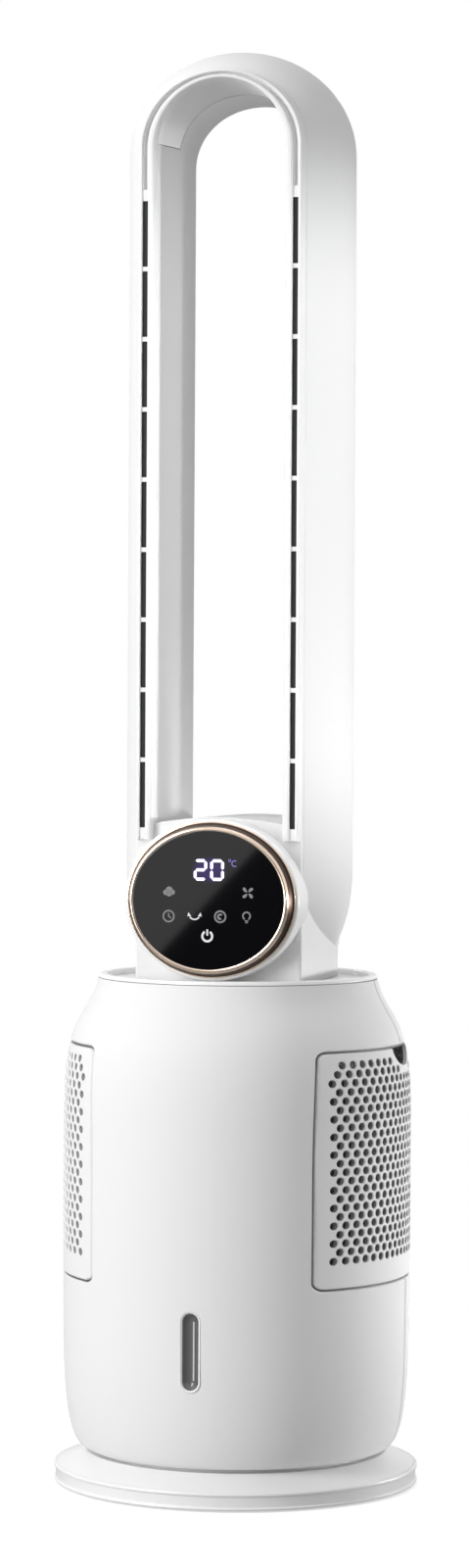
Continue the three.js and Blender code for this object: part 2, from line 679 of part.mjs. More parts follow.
const ROW_PITCH = (GRILLE_HEIGHT - HOLE_MARGIN_BOTTOM - HOLE_MARGIN_TOP) / (HOLE_ROWS - 1);
const COLUMN_PITCH = 2 * Math.PI / HOLES_ROUND;
const rowHeight = (row) => GRILLE_BOTTOM + HOLE_MARGIN_BOTTOM + row * ROW_PITCH;

// Staggered rows, without the holes at the finger notch and at the two upper corners
function grilleHoles() {
  const holes = [];
  for (let row = 0; row < HOLE_ROWS; row++) {
    const height = rowHeight(row);
    const staggered = row % 2;
    const fromTop = HOLE_ROWS - 1 - row;
    for (let column = 0; column < HOLE_COLUMNS - staggered; column++) {
      const angle = (column - (HOLE_COLUMNS - 1 - staggered) / 2) * COLUMN_PITCH;
      const edge = Math.min(column, HOLE_COLUMNS - 1 - staggered - column);
      const across = Math.abs(angle) * BODY_RADIUS;
      const nearNotch = across < NOTCH_HALF_WIDTH + HOLE_RADIUS + 2
        && height > GRILLE_TOP - NOTCH_DEPTH - HOLE_RADIUS - 2;
      const cornerHole = fromTop === 0 && edge === 0;
      if (!nearNotch && !cornerHole) holes.push(grilleHole(height, angle));
    }
  }
  return holes;
}

function fingerNotch(halfWidth, depth, top) {
  return ellipse(halfWidth, depth, top);
}

// The panel's wall bends only between rows, and its facets meet only between columns
function grillePanel() {
  const bends = Array.from({ length: HOLE_ROWS - 1 }, (_, row) => rowHeight(row + 0.5)).filter(
    (height, row) => height > BODY_HEIGHT - SHOULDER_HEIGHT || row === 2);
  const whole = bodyRing([GRILLE_BOTTOM - 5, ...bends, GRILLE_TOP + 5], HOLES_ROUND);
  const wall = solid(geometryOf(whole).rotateZ(COLUMN_PITCH / 4));
  const blank = wall.intersect(solid(sideways(grilleShape(0), ledgeX(0), FAR, 2)));
  const notch = solid(sideways(fingerNotch(NOTCH_HALF_WIDTH, NOTCH_DEPTH, GRILLE_TOP), ledgeX(0), FAR, 10));
  return grilleHoles().reduce((panel, hole) => panel.subtract(hole), blank.subtract(notch));
}

function drawerFront() {
  const [low, high] = [FASCIA_BOTTOM - 5, FASCIA_TOP + 5];
  const bends = bodyOutline.map((point) => point.y).filter((height) => height > low && height < high);
  const wall = bodyRing([low, ...bends, high], ROUND_FACETS);
  const blank = wall.intersect(solid(frontal(fasciaShape(0), FAR, 0, 3)));
  return blank.subtract(solid(frontal(fingerNotch(GRIP_HALF_WIDTH, GRIP_DEPTH, FASCIA_TOP), FAR, 0, 10)));
}

function windowOpening(margin) {
  const shape = stadium(WINDOW_WIDTH + 2 * margin, WINDOW_HEIGHT + 2 * margin);
  return frontal(shape, 0, -FAR, 6).translate(0, 0, WINDOW_MIDDLE);
}

function addShells(parent) {
  const grilleOpening = solid(sideways(grilleShape(PANEL_GAP), -FAR, FAR, 3));
  const drawerOpening = solid(frontal(fasciaShape(PANEL_GAP), FAR, 0, 3));
  const shell = bodyShell().subtract(grilleOpening);
  const frontHalf = block([-FAR, -FAR, -1], [FAR, -SPLIT_GAP / 2, BODY_HEIGHT + 1]);
  const rearHalf = block([-FAR, SPLIT_GAP / 2, -1], [FAR, FAR, BODY_HEIGHT + 1]);
  const front = shell.intersect(frontHalf).subtract(solid(windowOpening(CLEARANCE)));
  const rear = shell.intersect(rearHalf).subtract(drawerOpening);
  piece(parent, 'front_shell', front, whiteShell);
  piece(parent, 'rear_shell', rear, whiteShell);
}

function addWindow(parent) {
  const frontY = -bodyRadius(WINDOW_MIDDLE) - 0.3;
  const depth = WALL + 1.5;
  const bezelShape = stadium(WINDOW_WIDTH, WINDOW_HEIGHT);
  const hole = stadium(WINDOW_WIDTH - 2 * WINDOW_BORDER, WINDOW_HEIGHT - 2 * WINDOW_BORDER);
  bezelShape.holes.push(hole);
  const bezel = frontal(bezelShape, frontY + depth, frontY, 6);
  const lensShape = stadium(
    WINDOW_WIDTH - 2 * WINDOW_BORDER - 2 * CLEARANCE, WINDOW_HEIGHT - 2 * WINDOW_BORDER - 2 * CLEARANCE);
  const lens = frontal(lensShape, frontY + depth, frontY + depth - LENS_THICKNESS, 6);
  piece(parent, 'window_bezel', solid(bezel), whiteTrim, [0, 0, WINDOW_MIDDLE]);
  piece(parent, 'window_lens', solid(lens), clearPlastic, [0, 0, WINDOW_MIDDLE]);
}

// ---------------------------------------------------------------------------
// Swing chassis: floor of the tower, turning on the spindle and the glide ring
// ---------------------------------------------------------------------------

const HUB_TOP = SPINDLE_RISE - FOOT_GAP + CLEARANCE - 6;

function swingChassis() {
  const bore = SPINDLE_RADIUS + CLEARANCE;
  const hub = SPINDLE_RADIUS + 6;
  const hubBottom = CLEARANCE + SPINDLE_FLANGE_THICKNESS + CLEARANCE - FOOT_GAP;
  const ribBottom = CLEARANCE + GLIDE_THICKNESS + CLEARANCE - FOOT_GAP;
  const rim = bodyRadius(FLOOR_HEIGHT) - WALL - CLEARANCE;
  const floor = revolved([
    [bore, hubBottom],
    [hub, hubBottom],
    [hub, FLOOR_HEIGHT],
    [GLIDE_RADIUS - GLIDE_WIDTH / 2, FLOOR_HEIGHT],
    [GLIDE_RADIUS - GLIDE_WIDTH / 2, ribBottom],
    [GLIDE_RADIUS + GLIDE_WIDTH / 2, ribBottom],
    [GLIDE_RADIUS + GLIDE_WIDTH / 2, FLOOR_HEIGHT],
    [rim, FLOOR_HEIGHT],
    [rim, FLOOR_TOP],
    [hub, FLOOR_TOP],
    [hub, HUB_TOP],
    [bore, HUB_TOP],
  ], ROUND_FACETS);
  const shaftHole = rod(PINION_SHAFT_RADIUS + CLEARANCE, FLOOR_HEIGHT - 1, FLOOR_TOP + 1, 16);
  return floor.subtract(solid(shaftHole.translate(0, PINION_DISTANCE, 0)));
}

function addSwingTower(parent) {
  piece(parent, 'swing_chassis', swingChassis(), greyInner);
  const ears = block(
    [-SWING_MOTOR_RADIUS - 7, -4, 0], [SWING_MOTOR_RADIUS + 7, 4, 1.6]);
  const motor = solid(rod(SWING_MOTOR_RADIUS, 0, SWING_MOTOR_HEIGHT, 24)).add(ears);
  piece(parent, 'swing_motor', motor, steel, [0, PINION_DISTANCE, FLOOR_TOP + CLEARANCE]);
  piece(parent, 'swing_pinion', pinion(), gearPlastic, [0, PINION_DISTANCE, GEAR_BOTTOM - BODY_FOOT]);
}

// Power board on the chassis floor, with its larger components
function controlBoard() {
  const board = block([-34, -20, 0], [34, 20, BOARD_THICKNESS]);
  const transformer = block([-28, -12, BOARD_THICKNESS - 0.5], [-8, 10, 15]);
  const relay = block([4, -14, BOARD_THICKNESS - 0.5], [20, -2, 11]);
  const capacitors = [4, 15, 26].map((x) => solid(
    rod(4.5, BOARD_THICKNESS - 0.5, 13, 10).translate(x, 10, 0)));
  return joined([board, transformer, relay, ...capacitors]);
}

// ---------------------------------------------------------------------------
// Water: tray, pull-out tank with its front, pump, riser, troughs
// ---------------------------------------------------------------------------

// The tank's plan: straight sides between two arcs about the axis, grown by a margin
function tankPlan(margin) {
  const half = TANK_HALF_WIDTH + margin;
  const frontRadius = bodyRadius(TANK_BOTTOM) - 2 * WALL - 2 + margin;
  const rearRadius = bodyRadius(TANK_BOTTOM) * FACET_DEPTH - WALL - CLEARANCE + margin;
  const frontAngle = Math.acos(half / frontRadius);
  const rearAngle = Math.acos(half / rearRadius);
  const shape = new THREE.Shape();
  shape.absarc(0, 0, rearRadius, rearAngle, Math.PI - rearAngle);
  shape.absarc(0, 0, frontRadius, Math.PI + frontAngle, 2 * Math.PI - frontAngle);
  shape.closePath();
  return shape;
}

function waterTank() {
  const outside = solid(upright(tankPlan(0), TANK_BOTTOM, TANK_TOP, 8));
  const inside = solid(upright(tankPlan(-TANK_WALL), TANK_BOTTOM + TANK_WALL, TANK_TOP + 1, 8));
  return outside.subtract(inside);
}

const TRAY_TOP = TANK_BOTTOM - CLEARANCE;
const RAIL_HEIGHT = 8;
const RAIL_FRONT_Y = -60;
const RAIL_REAR_Y = 70;

function tankTray() {
  const bottom = TRAY_TOP - TRAY_THICKNESS;
  const rearTrim = block([-FAR, RAIL_REAR_Y, bottom - 1], [FAR, FAR, TRAY_TOP + RAIL_HEIGHT + 1]);
  const plate = solid(upright(tankPlan(-TANK_WALL), bottom, TRAY_TOP, 6));
  const railInner = TANK_HALF_WIDTH + CLEARANCE;
  const rails = [-1, 1].map((side) => {
    const [near, far] = [side * railInner, side * (railInner + TRAY_THICKNESS)];
    const [left, right] = [Math.min(near, far), Math.max(near, far)];
    return block([left, RAIL_FRONT_Y, bottom], [right, RAIL_REAR_Y, TRAY_TOP + RAIL_HEIGHT]);
  });
  const bearers = [-52, 52].map((y) => block([-railInner - 1, y - 5, bottom], [railInner + 1, y + 5, TRAY_TOP]));
  const legs = [[-48, -52], [48, -52], [-48, 52], [48, 52]].map(([x, y]) => solid(
    rod(TRAY_LEG_RADIUS, FLOOR_TOP + CLEARANCE, bottom + 1, 10).translate(x, y, 0)));
  return joined([plate.subtract(rearTrim), ...rails, ...bearers, ...legs]);
}

function waterPump() {
  const bottom = TANK_BOTTOM + TANK_WALL + CLEARANCE;
  const can = solid(rod(PUMP_RADIUS, bottom, bottom + PUMP_HEIGHT, 20));
  const spout = solid(rod(PIPE_RADIUS, bottom + PUMP_HEIGHT - 1, TANK_TOP + 0.5, 12));
  return can.add(spout);
}

const PIPE_TOP = PAD_TOP + CLEARANCE + (TROUGH_HEIGHT + TROUGH_WALL) / 2;
const NOZZLE_X = PAD_INNER_X + TROUGH_WALL + 2 * CLEARANCE + NOZZLE_RADIUS;

// Riser from the pump, a cross pipe, and a nozzle into the end of each trough
function riserPipe() {
  const foot = TANK_TOP + 0.5 + CLEARANCE;
  const riser = rodBetween([0, PUMP_Y, foot], [0, PUMP_Y, PIPE_TOP], PIPE_RADIUS);
  const across = rodBetween(
    [-NOZZLE_X - NOZZLE_RADIUS, PUMP_Y, PIPE_TOP], [NOZZLE_X + NOZZLE_RADIUS, PUMP_Y, PIPE_TOP], PIPE_RADIUS);
  const nozzles = [-1, 1].map((side) => rodBetween(
    [side * NOZZLE_X, PUMP_Y, PIPE_TOP],
    [side * NOZZLE_X, -PAD_HALF_WIDTH + TROUGH_WALL, PIPE_TOP], NOZZLE_RADIUS, 8));
  return joined([riser, across, ...nozzles]);
}

// The hole that a nozzle passes through, at both ends of a side
function nozzleHole() {
  const reach = PAD_HALF_WIDTH + FRAME_BAR + 5;
  return rodBetween([NOZZLE_X, -reach, PIPE_TOP], [NOZZLE_X, reach, PIPE_TOP], NOZZLE_RADIUS + CLEARANCE, 8);
}

function addWater(parent) {
  piece(parent, 'tank_tray', tankTray(), greyInner);
  piece(parent, 'water_tank', waterTank(), clearPlastic);
  piece(parent, 'tank_fascia', drawerFront(), whiteShell);
  piece(parent, 'water_pump', waterPump(), darkPlastic, [0, PUMP_Y, 0]);
  piece(parent, 'riser_pipe', riserPipe(), greyInner);
}

// ---------------------------------------------------------------------------
// One side: grille, pad, its frame and the trough above. The other is this one turned half round.
// ---------------------------------------------------------------------------

function wetPad() {
  const points = [[PAD_INNER_X, -PAD_HALF_WIDTH]];
  const pitch = 2 * PAD_HALF_WIDTH / PAD_FLUTES;
  for (let i = 0; i < PAD_FLUTES; i++) {
    const y = -PAD_HALF_WIDTH + i * pitch;
    points.push([PAD_OUTER_X - FLUTE_DEPTH, y], [PAD_OUTER_X, y + pitch / 2]);
  }
  points.push([PAD_OUTER_X - FLUTE_DEPTH, PAD_HALF_WIDTH], [PAD_INNER_X, PAD_HALF_WIDTH]);
  const shape = new THREE.Shape(points.map(([x, y]) => new THREE.Vector2(x, y)));
  return solid(upright(shape, PAD_BOTTOM, PAD_TOP));
}

// A frame round the pad, standing on the chassis by two posts beside the tank
function padFrame() {
  const inner = PAD_HALF_WIDTH + CLEARANCE;
  const outer = inner + FRAME_BAR;
  const [innerX, outerX] = [PAD_INNER_X, PAD_OUTER_X];
  const bottom = PAD_BOTTOM - CLEARANCE - FRAME_BAR;
  const top = PAD_TOP + CLEARANCE + TROUGH_HEIGHT;
  const body = block([innerX, -outer, bottom], [outerX, outer, top]);
  const opening = block([innerX - 1, -inner, bottom + FRAME_BAR], [outerX + 1, inner, top + 1]);
  const posts = [-1, 1].map((side) => {
    const y = side * (inner - 14);
    return block([innerX, y - 5, FLOOR_TOP + CLEARANCE], [innerX + 8, y + 5, bottom + 1]);
  });
  return joined([body.subtract(opening), ...posts]).subtract(nozzleHole());
}

function dripTrough() {
  const [innerX, outerX] = [PAD_INNER_X, PAD_OUTER_X];
  const bottom = PAD_TOP + CLEARANCE;
  const end = PAD_HALF_WIDTH;
  const body = block([innerX, -end, bottom], [outerX, end, bottom + TROUGH_HEIGHT]);
  const channel = block(
    [innerX + TROUGH_WALL, -end + TROUGH_WALL, bottom + TROUGH_WALL],
    [outerX - TROUGH_WALL, end - TROUGH_WALL, bottom + TROUGH_HEIGHT + 1]);
  return body.subtract(channel).subtract(nozzleHole());
}

function addSide(parent, side, turn) {
  const group = subgroup(parent, [0, 0, 0], turn);
  piece(group, `${side}_grille`, grillePanel(), whiteShell);
  piece(group, `${side}_pad`, wetPad(), padPaper);
  piece(group, `${side}_pad_frame`, padFrame(), greyInner);
  piece(group, `${side}_drip_trough`, dripTrough(), greyInner);
}

// ---------------------------------------------------------------------------
// Blower: duct, impeller on its shaft, motor in a vaned diffuser, mid plate and plenum
// ---------------------------------------------------------------------------

const DUCT_TOP = MID_PLATE_BOTTOM - CLEARANCE;
const DUCT_BOTTOM = DUCT_TOP - DUCT_HEIGHT;
const MOTOR_TOP = DUCT_TOP - 6;
const MOTOR_BOTTOM = MOTOR_TOP - MOTOR_HEIGHT;
const HUB_TOP_HEIGHT = MOTOR_BOTTOM - BEARING_THICKNESS - 2;
const HUB_BOTTOM_HEIGHT = HUB_TOP_HEIGHT - HUB_HEIGHT;

function fanDuct() {
  const outer = DUCT_RADIUS + DUCT_WALL;
  return revolved([
    [DUCT_RADIUS + BELLMOUTH, DUCT_BOTTOM],
    [outer + BELLMOUTH, DUCT_BOTTOM],
    [outer, DUCT_BOTTOM + 2 * BELLMOUTH],
    [outer, DUCT_TOP - 3],
    [outer + BELLMOUTH, DUCT_TOP - 3],
    [outer + BELLMOUTH, DUCT_TOP],
    [DUCT_RADIUS, DUCT_TOP],
    [DUCT_RADIUS, DUCT_BOTTOM + 2 * BELLMOUTH],
  ], 24);
}

// A twisted blade: chord sections at three radii, cambered by their middle points
function blade() {
  const rootRadius = HUB_RADIUS - 3;
  const tipRadius = DUCT_RADIUS - TIP_GAP;
  const stations = [0, 0.5, 1].map((share) => {
    const radius = THREE.MathUtils.lerp(rootRadius, tipRadius, share);
    const lean = radians(THREE.MathUtils.lerp(BLADE_ANGLE_ROOT, BLADE_ANGLE_TIP, share));
    const half = BLADE_CHORD * (0.62 + 0.38 * share) / 2;
    const camber = half * 0.18;
    const outline = [
      [-half, 0], [0, -camber], [half, 0],
      [half, BLADE_THICKNESS], [0, BLADE_THICKNESS - camber], [-half, BLADE_THICKNESS],
    ].map(([along, off]) => new THREE.Vector2(along, off));
    return { outline, radius, lean };
  });
  return lofted(stations, (point, { radius, lean }) => {
    const across = point.x * Math.cos(lean) - point.y * Math.sin(lean);
    const up = point.x * Math.sin(lean) + point.y * Math.cos(lean);
    const angle = across / radius;
    return [radius * Math.cos(angle), radius * Math.sin(angle), up];
  });
}

function impeller() {
  const bore = SHAFT_RADIUS + CLEARANCE;
  const hub = revolved([
    [bore, HUB_BOTTOM_HEIGHT],
    [HUB_RADIUS * 0.55, HUB_BOTTOM_HEIGHT],
    [HUB_RADIUS * 0.9, HUB_BOTTOM_HEIGHT + HUB_HEIGHT * 0.3],
    [HUB_RADIUS, HUB_TOP_HEIGHT],
    [bore, HUB_TOP_HEIGHT],
  ], 20);
  const one = geometryOf(blade());
  const middle = (HUB_BOTTOM_HEIGHT + HUB_TOP_HEIGHT) / 2;
  const blades = around(BLADES).map((angle) => solid(one.clone().rotateZ(angle).translate(0, 0, middle)));
  return joined([hub, ...blades]);
}

// The motor's can with a seat for a bearing at each end
function blowerMotor() {
  const bore = SHAFT_RADIUS + 1.2;
  const seat = BEARING_RADIUS + CLEARANCE;
  const deep = BEARING_THICKNESS + CLEARANCE;
  return revolved([
    [seat, MOTOR_BOTTOM],
    [MOTOR_RADIUS, MOTOR_BOTTOM],
    [MOTOR_RADIUS, MOTOR_TOP],
    [seat, MOTOR_TOP],
    [seat, MOTOR_TOP - deep],
    [bore, MOTOR_TOP - deep],
    [bore, MOTOR_BOTTOM + deep],
    [seat, MOTOR_BOTTOM + deep],
  ], 20);
}

function diffuser() {
  const bore = MOTOR_RADIUS + CLEARANCE;
  const shaftHole = SHAFT_RADIUS + 2;
  const outer = DUCT_RADIUS - CLEARANCE;
  const capBottom = MOTOR_TOP + CLEARANCE;
  const capTop = capBottom + DIFFUSER_WALL;
  const cup = revolved([
    [bore, MOTOR_BOTTOM],
    [bore + DIFFUSER_WALL, MOTOR_BOTTOM],
    [bore + DIFFUSER_WALL, capTop],
    [shaftHole, capTop],
    [shaftHole, capBottom],
    [bore, capBottom],
  ], 20);
  const band = ring(outer - DIFFUSER_WALL, outer, MOTOR_BOTTOM, MOTOR_TOP, 24);
  const lean = radians(24);
  const [inner, tip] = [MOTOR_RADIUS + 1, outer - DIFFUSER_WALL / 2];
  const height = (MOTOR_HEIGHT - 4) / Math.cos(lean);
  const vanes = around(VANES).map((angle) => {
    const vane = new THREE.BoxGeometry(tip - inner - 1, VANE_THICKNESS, height * 0.86);
    vane.rotateX(lean).translate((tip + inner + 1) / 2, 0, (MOTOR_BOTTOM + MOTOR_TOP) / 2);
    return solid(vane.rotateZ(angle));
  });
  return joined([cup, band, ...vanes]);
}

function midPlate() {
  const rim = bodyRadius(MID_PLATE_TOP) - WALL - CLEARANCE;
  return ring(DUCT_RADIUS, rim, MID_PLATE_BOTTOM, MID_PLATE_TOP, ROUND_FACETS);
}

// A hood from the round duct to the rectangular foot of the neck
function plenum() {
  const bottom = MID_PLATE_TOP + CLEARANCE;
  const top = DECK_BOTTOM - CLEARANCE;
  const points = 20;
  const hood = (grow) => {
    const level = (height, share) => {
      const outline = around(points).map((angle) => {
        const round = DUCT_RADIUS + grow;
        const halfX = NECK_HALF_WIDTH - WALL + grow;
        const [frontY, rearY] = [LOOP_SPLIT_Y - grow, LOOP_REAR_Y - WALL + grow];
        const middleY = (frontY + rearY) / 2 * share;
        const halfY = (rearY - frontY) / 2;
        const [cos, sin] = [Math.cos(angle), Math.sin(angle)];
        const square = 1 / Math.max(Math.abs(cos) / halfX, Math.abs(sin) / halfY);
        const radius = THREE.MathUtils.lerp(round, square, share);
        return new THREE.Vector2(radius * cos, radius * sin + middleY);
      });
      return { outline, height };
    };
    const stretch = grow > 0 ? 0 : 0.5;
    const levels = [level(bottom - stretch, 0), level((bottom + top) / 2, 0.5), level(top + stretch, 1)];
    return lofted(levels, (point, station) => [point.x, point.y, station.height]);
  };
  return hood(DUCT_WALL).subtract(hood(0));
}

function addBlower(parent) {
  piece(parent, 'fan_duct', fanDuct(), greyInner);
  piece(parent, 'impeller', impeller(), darkPlastic);
  const shaftBottom = HUB_BOTTOM_HEIGHT - 7;
  piece(parent, 'impeller_shaft', rod(SHAFT_RADIUS, shaftBottom, MOTOR_TOP - 0.5, 16), steel);
  const nut = solid(rod(7, HUB_BOTTOM_HEIGHT - CLEARANCE - 5, HUB_BOTTOM_HEIGHT - CLEARANCE, 6)).subtract(
    solid(rod(SHAFT_RADIUS + CLEARANCE, shaftBottom - 1, HUB_BOTTOM_HEIGHT + 1, 16)));
  piece(parent, 'impeller_nut', nut, steel);
  piece(parent, 'blower_motor', blowerMotor(), steel);
  const bearing = ring(SHAFT_RADIUS + CLEARANCE, BEARING_RADIUS, 0, BEARING_THICKNESS, 16);
  piece(parent, 'lower_bearing', bearing, steel, [0, 0, MOTOR_BOTTOM]);
  piece(parent, 'upper_bearing', bearing, steel, [0, 0, MOTOR_TOP - BEARING_THICKNESS]);
  piece(parent, 'diffuser', diffuser(), greyInner);
  piece(parent, 'mid_plate', midPlate(), greyInner);
  piece(parent, 'plenum', plenum(), greyInner);
}

// ---------------------------------------------------------------------------
// Deck: white rim ring and recessed plate with the way through to the neck
// ---------------------------------------------------------------------------

function deckRim() {
  const inner = BODY_TOP_RADIUS - RIM_WIDTH;
  const top = BODY_HEIGHT + RIM_RISE;
  const seat = bodyRadius(SHELL_TOP) - WALL - CLEARANCE;
  return revolved([
    [inner, DECK_BOTTOM],
    [seat, DECK_BOTTOM],
    [seat, SHELL_TOP + CLEARANCE],
    [BODY_TOP_RADIUS + 0.1, SHELL_TOP + CLEARANCE],
    [BODY_TOP_RADIUS + 0.3, BODY_HEIGHT - 0.4],
    [BODY_TOP_RADIUS - 0.6, top - 0.5],
    [BODY_TOP_RADIUS - 2.2, top],
    [inner + 1, top - 0.5],
    [inner, BODY_HEIGHT - 0.6],
  ], ROUND_FACETS);
}

function deckPlate() {
  const rim = BODY_TOP_RADIUS - RIM_WIDTH - CLEARANCE;
  const way = [
    [-NECK_HALF_WIDTH + WALL, LOOP_SPLIT_Y],
    [NECK_HALF_WIDTH - WALL, LOOP_SPLIT_Y],
    [NECK_HALF_WIDTH - WALL, LOOP_REAR_Y - WALL],
    [-NECK_HALF_WIDTH + WALL, LOOP_REAR_Y - WALL],
  ];
  const opening = upright(roundedShape(way, NECK_CORNER), DECK_BOTTOM - 1, DECK_TOP + 1, 3);
  return solid(rod(rim, DECK_BOTTOM, DECK_TOP, ROUND_FACETS)).subtract(solid(opening));
}

// ---------------------------------------------------------------------------
// Loop: one section carried up a limb, round the arch and down the other limb.
// A section point is [distance outside the lip, depth Y].
// ---------------------------------------------------------------------------

const LOOP_MIDDLE_Y = (CREASE_Y + LOOP_REAR_Y) / 2;
const HALF_CHORD = (LOOP_REAR_Y - CREASE_Y) / 2;
const BULGE_RADIUS = (HALF_CHORD ** 2 + BULGE ** 2) / (2 * BULGE);
const BULGE_CENTRE = CREASE_OFFSET + BULGE - BULGE_RADIUS;

// Distance outside the lip of the bulged wall at a depth, inset by a wall
const bulgeAt = (y, inset) => BULGE_CENTRE + Math.sqrt((BULGE_RADIUS - inset) ** 2 - (y - LOOP_MIDDLE_Y) ** 2);

// The bulged wall from front to rear, with its rear corner rounded off
function bulgePoints(frontY, rearY, inset) {
  return Array.from({ length: ARC_STEPS + 1 }, (_, i) => {
    const y = THREE.MathUtils.lerp(frontY, rearY, i / ARC_STEPS);
    return [bulgeAt(y, inset), y];
  });
}

function rearCorner(inset) {
  const radius = REAR_ROUNDING - inset;
  const [x, y] = [REAR_ROUNDING - REAR_DRAFT, LOOP_REAR_Y - REAR_ROUNDING];
  return [0, 45, 90].map((angle) => [x - radius * Math.sin(radians(angle)), y + radius * Math.cos(radians(angle))]);
}

function formSection(grow, beads) {
  const front = beads
    ? [
      [-grow, VALLEY_Y - grow],
      [0.8 - grow, LIP_Y + 0.8 - grow],
      [2.6, LIP_Y - grow],
      [SLOT_OFFSET - SLOT_WIDTH / 2 - 0.4, BEAD_Y - grow],
      [SLOT_OFFSET - SLOT_WIDTH / 2, VALLEY_Y - grow],
      [SLOT_OFFSET + SLOT_WIDTH / 2, VALLEY_Y - grow],
      [SLOT_OFFSET + SLOT_WIDTH / 2 + 0.4, BEAD_Y - grow],
      [CREASE_OFFSET - 1.4 + grow / 2, BEAD_Y + 0.4 - grow],
    ]
    : [0, 0.8, 2.6, 4.4, 4.8, 8.8, 9.2, CREASE_OFFSET - 1.4].map((x) => [x, CREASE_Y + 0.2]);
  const outer = bulgePoints(CREASE_Y, LOOP_REAR_Y - 3, -grow);
  return [...front, ...outer, [CREASE_OFFSET - 2, LOOP_REAR_Y + grow], ...rearCorner(-grow)];
}

function cavitySection() {
  const frontY = LIP_Y - 2;
  const rear = LOOP_REAR_Y - WALL - 2;
  const outer = bulgePoints(CREASE_Y + 1, rear, WALL);
  return [
    [WALL, frontY],
    [outer[0][0], frontY],
    ...outer,
    [CREASE_OFFSET - 2, LOOP_REAR_Y - WALL],
    ...rearCorner(WALL),
  ];
}

// Front border of the arch is squeezed towards the crown; what lies outside it keeps its size
function squeezed(offset, angle) {
  const share = 1 - CROWN_SQUEEZE * Math.sin(angle) ** 2;
  if (offset <= 0) return offset;
  return Math.min(offset, CREASE_OFFSET) * share + Math.max(offset - CREASE_OFFSET, 0);
}

// Stations up one limb, as height above the deck and how much of the bulge there is
function limbStations(inset) {
  const tip = TONGUE_TIP + inset;
  const morph = [78, 60, 40, 20].map((degrees) => ({
    height: TONGUE_FULL - (TONGUE_FULL - tip) * Math.sin(radians(degrees)),
    bulge: Math.cos(radians(degrees)),
    beads: false,
  }));
  return [
    ...morph,
    { height: TONGUE_FULL, bulge: 1, beads: false },
    { height: BEAD_START - 0.5, bulge: 1, beads: false },
    { height: BEAD_START, bulge: 1, beads: true },
  ];
}

// Sections along the whole loop. The tongue draws the bulged wall in towards one depth.
function loopSweep(sectionOf, inset = 0) {
  const limb = limbStations(inset);
  const shrink = ([offset, y], bulge) => [
    offset > CREASE_OFFSET ? CREASE_OFFSET + (offset - CREASE_OFFSET) * bulge : offset,
    offset > CREASE_OFFSET ? TONGUE_Y + (y - TONGUE_Y) * bulge : y,
  ];
  const station = (place, angle, bulge, beads) => ({
    outline: sectionOf(beads).map((point) => new THREE.Vector2(...shrink(point, bulge))),
    place,
    angle,
  });
  const arch = Array.from({ length: ARCH_STEPS + 1 }, (_, i) => Math.PI * i / ARCH_STEPS);
  const stations = [
    ...limb.map((s) => station(s.height, 0, s.bulge, s.beads)),
    ...arch.map((angle) => station(ARCH_MIDDLE, angle, 1, true)),
    ...limb.toReversed().map((s) => station(s.height, Math.PI, s.bulge, s.beads)),
  ];
  return lofted(stations, (point, { place, angle }) => {
    const radius = LIP_RADIUS + squeezed(point.x, angle);
    return [radius * Math.cos(angle), point.y, place + radius * Math.sin(angle)];
  });
}

// A plain section of the arch only, between two ends a little below the middle of the arch
function archSweep(section, drop) {
  const arch = Array.from({ length: ARCH_STEPS + 1 }, (_, i) => Math.PI * i / ARCH_STEPS);
  const outline = section.map((point) => new THREE.Vector2(...point));
  const stations = [
    { outline, place: ARCH_MIDDLE - drop, angle: 0 },
    ...arch.map((angle) => ({ outline, place: ARCH_MIDDLE, angle })),
    { outline, place: ARCH_MIDDLE - drop, angle: Math.PI },
  ];
  return lofted(stations, (point, { place, angle }) => {
    const radius = LIP_RADIUS + squeezed(point.x, angle);
    return [radius * Math.cos(angle), point.y, place + radius * Math.sin(angle)];
  });
}

// The block of the neck with its crowned saddle; inset makes the space inside it
function neckForm(inset, bottom, frontY) {
  const half = NECK_HALF_WIDTH - inset;
  const radius = SADDLE_RADIUS - inset;
  const drop = Math.asin(half / radius);
  const centre = SADDLE_HEIGHT - SADDLE_RADIUS;
  const face = new THREE.Shape();
  face.moveTo(-half, bottom);
  face.lineTo(half, bottom);
  face.absarc(0, centre, radius, Math.PI / 2 - drop, Math.PI / 2 + drop);
  face.closePath();
  const plan = new THREE.Shape();
  const corner = NECK_CORNER - inset;
  const rear = LOOP_REAR_Y - inset;
  plan.moveTo(-half, frontY);
  plan.lineTo(half, frontY);
  plan.absarc(half - corner, rear - corner, corner, 0, Math.PI / 2);
  plan.absarc(-half + corner, rear - corner, corner, Math.PI / 2, Math.PI);
  plan.closePath();
  const front = solid(frontal(face, rear + 1, frontY - 1, 8));
  return front.intersect(solid(upright(plan, bottom, SADDLE_HEIGHT + 1, 4)));
}

const loopForm = loopSweep((beads) => formSection(0, beads)).add(neckForm(0, 0, NECK_FRONT_Y));

function slotCuts() {
  const across = LIP_RADIUS + SLOT_OFFSET;
  const cuts = [];
  for (const side of [-1, 1]) {
    for (let i = 0; i < SLOT_COUNT; i++) {
      const bottom = SLOT_BOTTOM + i * (SLOT_LENGTH + SLOT_BRIDGE);
      const [left, right] = [side * across - SLOT_WIDTH / 2, side * across + SLOT_WIDTH / 2];
      cuts.push(block([left, LIP_Y - 1, bottom], [right, LOOP_SPLIT_Y + 1, bottom + SLOT_LENGTH]));
    }
  }
  return joined(cuts);
}

